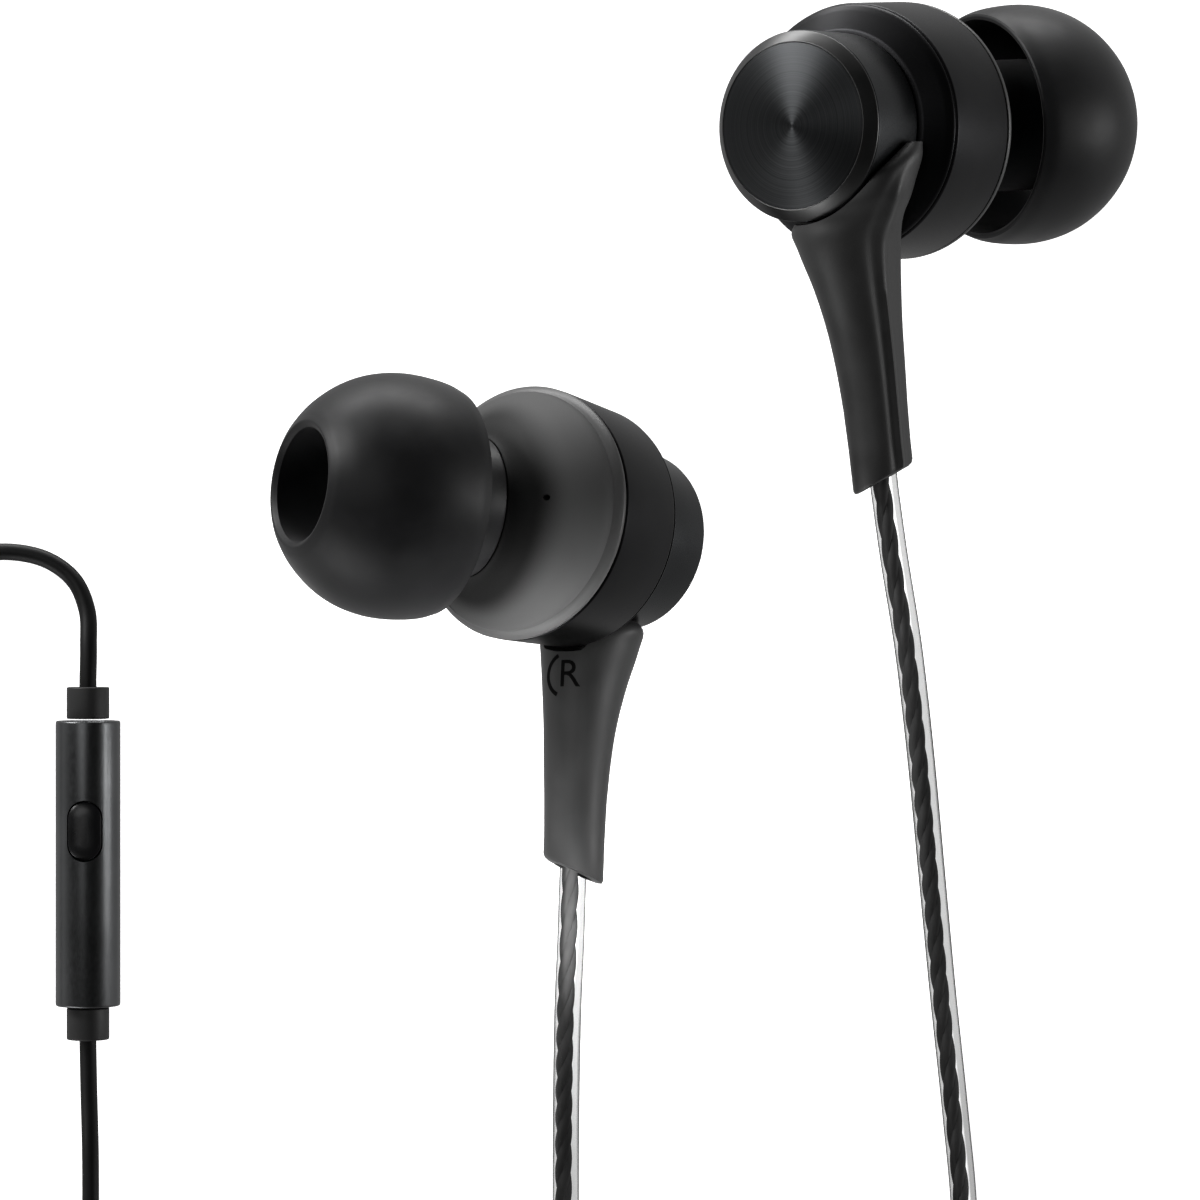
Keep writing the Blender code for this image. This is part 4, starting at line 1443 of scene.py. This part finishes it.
@dataclass
class Plug:
    """Four-contact 3.5 mm plug with a ribbed relief and a satin barrel."""

    finishes: Finishes
    place: tuple[float, float, float] = (-10.4, -58.6, 7.8)
    radius: float = 2.6
    ribs: int = 6
    rib_pitch: float = 0.8

    def build(self) -> None:
        """Build the relief and the barrel."""
        frame_at = Matrix.Translation(Vector(self.place) * MM)
        relief = [(CORD_BORE, 0.0)]
        for i in range(self.ribs):
            start = i * self.rib_pitch
            radius = 1.05 + 0.65 * i / self.ribs
            inside = radius - 0.16
            relief += [(radius, start + 0.05), (radius, start + 0.5)]
            relief += [(inside, start + 0.56), (inside, start + 0.76)]
        relief += [(1.68, 4.85), (CORD_BORE, 4.85)]
        wide = self.radius
        barrel = [
            (CORD_BORE, 5.0), (wide - 0.3, 5.0), (wide, 5.3), (wide, 12.6), (wide - 0.1, 12.7),
            (wide - 0.1, 12.9), (wide, 13.0), (wide, 15.7), (wide - 0.3, 16.0), (CORD_BORE, 16.0),
        ]
        turned_piece(
            "plug_relief_sleeve", rounded(relief, 0.04, 2), self.finishes.collar, frame_at, "plug_relief",
            slot="collar", sides=64, axis="X",
        )
        turned_piece(
            "plug_grip", rounded(barrel, 0.06, 3), self.finishes.housing, frame_at, "plug_barrel",
            slot="housing", sides=96, axis="X",
        )
        LOG.info("plug built")


# ---------------------------------------------------------------- inner nodes, stage, camera


def finish_inner_nodes(finishes: Finishes) -> None:
    """Give each CAD node that stays a real material.

    Args:
        finishes: The materials of the visible pieces.
    """
    steel = PlatedMetal("pressed_steel", "#8b8d90", "#a0a2a5", 0.32).build()
    nickel = PlatedMetal("nickel_plate", "#b4b4b6", "#c8c8ca", 0.2).build()
    copper = PlatedMetal("enamelled_copper", "#8f4d25", "#b0643a", 0.3).build()
    brass = PlatedMetal("drawn_brass", "#a5843f", "#bf9c54", 0.3).build()
    film = MouldedPlastic("polymer_film", "#a8a8aa", "#c0c0c2", 0.2, 0.4).build()
    board = MouldedPlastic("solder_mask_board", "#0d3a20", "#14492a", 0.4, 0.2).build()
    black = MouldedPlastic("black_abs_frame", "#141415", "#1c1c1e", 0.45).build()
    mesh = WovenSteelMesh().build()
    inner = {
        "nozzle_mesh": mesh, "driver_frame": black, "yoke": steel, "magnet": nickel, "voice_coil": copper,
        "diaphragm": film, "terminal_board": board, "cord_crimp": brass,
    }
    shared = {
        "remote_board": board, "remote_switch": steel, "remote_microphone": nickel, "plug_insulator": black,
    }
    for contact in ("sleeve", "ring_1", "ring_2", "tip"):
        shared[f"plug_{contact}"] = finishes.gold
    for side in ("left", "right"):
        shared.update({f"{side}_{part}": material for part, material in inner.items()})
    for node, material in shared.items():
        use_material(node, material)


@dataclass
class Studio:
    """Pale floor, soft lights and the camera straight above."""

    view_centre: tuple[float, float] = (-5.65, -8.0)
    view_height: float = 235.0
    view_width: float = 63.63
    sensor: float = 36.0

    def camera(self) -> None:
        """Add the camera, looking straight down."""
        data = bpy.data.cameras.new("camera")
        data.sensor_width = self.sensor
        data.lens = self.sensor * self.view_height / self.view_width
        data.clip_start = 0.01
        data.clip_end = 10
        made = bpy.data.objects.new("camera", data)
        made.location = Vector((*self.view_centre, self.view_height)) * MM
        bpy.context.scene.collection.objects.link(made)
        bpy.context.scene.camera = made

    def light(
        self, name: str, place: tuple[float, float, float], size: tuple[float, float], power: float,
        aim: tuple[float, float, float] = (-5.0, 0.0, 5.0), mirrored: bool = True,
    ) -> None:
        """Add a rectangular softbox.

        Args:
            name: The light's name.
            place: Where it stands, in millimetres.
            size: Width and height, in millimetres.
            power: Watts.
            aim: The point that it faces.
            mirrored: Whether polished surfaces show it.
        """
        data = bpy.data.lights.new(name, "AREA")
        data.shape = "RECTANGLE"
        data.size = size[0] * MM
        data.size_y = size[1] * MM
        data.energy = power
        made = bpy.data.objects.new(name, data)
        made.visible_camera = False
        made.visible_glossy = mirrored
        made.location = Vector(place) * MM
        made.rotation_euler = (Vector(place) - Vector(aim)).to_track_quat("Z", "Y").to_euler()
        bpy.context.scene.collection.objects.link(made)

    def build(self) -> None:
        """Add the floor, the sky and the lights."""
        mesh = bmesh.new()
        bmesh.ops.create_grid(mesh, x_segments=8, y_segments=8, size=1500)
        material = MouldedPlastic("pale_matt_table", "#fbfbfb", "#ffffff", 0.8).build()
        shader = material.node_tree.nodes["Principled BSDF"]
        shader.inputs["Emission Color"].default_value = (1, 1, 1, 1)
        shader.inputs["Emission Strength"].default_value = 1.0
        plane = make_piece("floor", mesh, material)
        for ray in ("glossy", "diffuse", "shadow"):
            setattr(plane, f"visible_{ray}", False)
        self.sky()
        self.light("overhead", (-120, 60, 320), (160, 160), 0.12)
        self.light("left_strip", (-250, 190, 95), (90, 160), 1.0)
        self.light("right_strip", (260, 0, 60), (80, 120), 0.28)
        self.light("low_front", (-170, -230, 70), (220, 110), 0.38)
        self.light("stem_fill", (-8, -24, 20), (10, 10), 0.008, (-7.5, -16, 8), mirrored=False)
        self.light("top_rim", (-30, 250, -60), (300, 60), 0.75)
        bpy.context.scene.view_settings.view_transform = "Standard"
        LOG.info("studio built")

    def sky(self) -> None:
        """Add the world: a grey band round the horizon, dark above."""
        world = bpy.data.worlds.new("studio")
        world.use_nodes = True
        nodes = world.node_tree.nodes
        links = world.node_tree.links
        coords = nodes.new("ShaderNodeTexCoord")
        parts = nodes.new("ShaderNodeSeparateXYZ")
        ramp = nodes.new("ShaderNodeValToRGB")
        level = nodes.new("ShaderNodeMapRange")
        level.inputs["From Min"].default_value = -1
        links.new(coords.outputs["Generated"], parts.inputs[0])
        links.new(parts.outputs[2], level.inputs["Value"])
        links.new(level.outputs[0], ramp.inputs[0])
        links.new(ramp.outputs[0], nodes["Background"].inputs["Color"])
        stops = ramp.color_ramp.elements
        for position, value in zip((0.0, 1.0), (0.35, 0.015)):
            stops[round(position)].position = position
            stops[round(position)].color = (value, value, value, 1)
        for position, value in ((0.35, 0.55), (0.52, 0.6), (0.62, 0.3), (0.8, 0.04)):
            stops.new(position).color = (value, value, value, 1)
        bpy.context.scene.world = world


def build_cords(finishes: Finishes, left: Earpiece, right: Earpiece) -> None:
    """Build the four cords, each from its exit to its far end.

    Every end runs a little way into the piece that holds it.

    Args:
        finishes: The materials.
        left: The left earpiece.
        right: The right earpiece.
    """
    sides = (
        ("left", left, LEFT_LEAD, LEFT_COIL, LEFT_TAIL, (-14.6, -69.6, 1.4)),
        ("right", right, RIGHT_LEAD, RIGHT_COIL, RIGHT_TAIL, (-14.6, -68.0, 1.4)),
    )
    # Length in metres, kind of far end, and the pieces at that end.
    ends = {
        "left": (0.395, "fitting", ("splitter_block", "splitter_sleeve")),
        "right": (0.40, "object", ()),
    }
    for side, earpiece, lead, coil, tail, last in sides:
        route = catmull([*earpiece.cord_start(), *lead], 8) + coil.points() + catmull([*tail, last], 8)
        nodes = tuple(f"{side}_cord_{part}" for part in ("lead", "tail", "coil"))
        Cord(f"{side}_cord", route, finishes, nodes, *ends[side]).build()
    upper = catmull([(-32.6, -13.4, 1.72), *REMOTE_UPPER, (-26.3, -68.8, 1.4)], 8)
    remote = ("remote_tube", "button_pad", "remote_upper_collar_sleeve", "remote_lower_collar_sleeve")
    nodes = ("main_cord_upper",)
    Cord("main_upper", upper[::-1], finishes, nodes, 0.09, "fitting", remote, False, 0.9).build()
    lower = catmull([(-32.6, -30.6, 1.72), *REMOTE_LOWER], 8) + MAIN_COIL.points()
    lower += catmull([*PLUG_LEAD, (-9.9, -58.6, 7.8)], 8)
    nodes = tuple(f"main_cord_{part}" for part in ("lower", "coil", "plug_lead"))
    plug = tuple(f"plug_{part}" for part in ("relief_sleeve", "grip", "sleeve", "ring_1", "ring_2", "tip"))
    plug += ("plug_insulator", "main_cord_tie_strap")
    Cord("main_lower", lower, finishes, nodes, 0.72, "plug", plug, False, 0.9).build()


def main() -> None:
    """Build the scene in order."""
    logging.basicConfig(level=logging.INFO, format="%(message)s")
    studio = Studio()
    studio.camera()
    finishes = Finishes()
    # Place, direction of the housing's axis, and direction of the stem seen from above.
    left = Earpiece("left", (6.85, 15.55, 13.6), (0.585, 0.061, -0.809), (0.113, -0.99), finishes)
    right = Earpiece(
        "right", (-6.85, -4.25, 6.78), (-0.592, 0.142, 0.793), (-0.035, -0.99), finishes, mark="R"
    )
    Remote(finishes).build()
    Splitter(finishes).build()
    Plug(finishes).build()
    Ties(finishes).build()
    build_cords(finishes, left, right)
    left.build()
    right.build()
    finish_inner_nodes(finishes)
    studio.build()


if __name__ == "__main__":
    main()
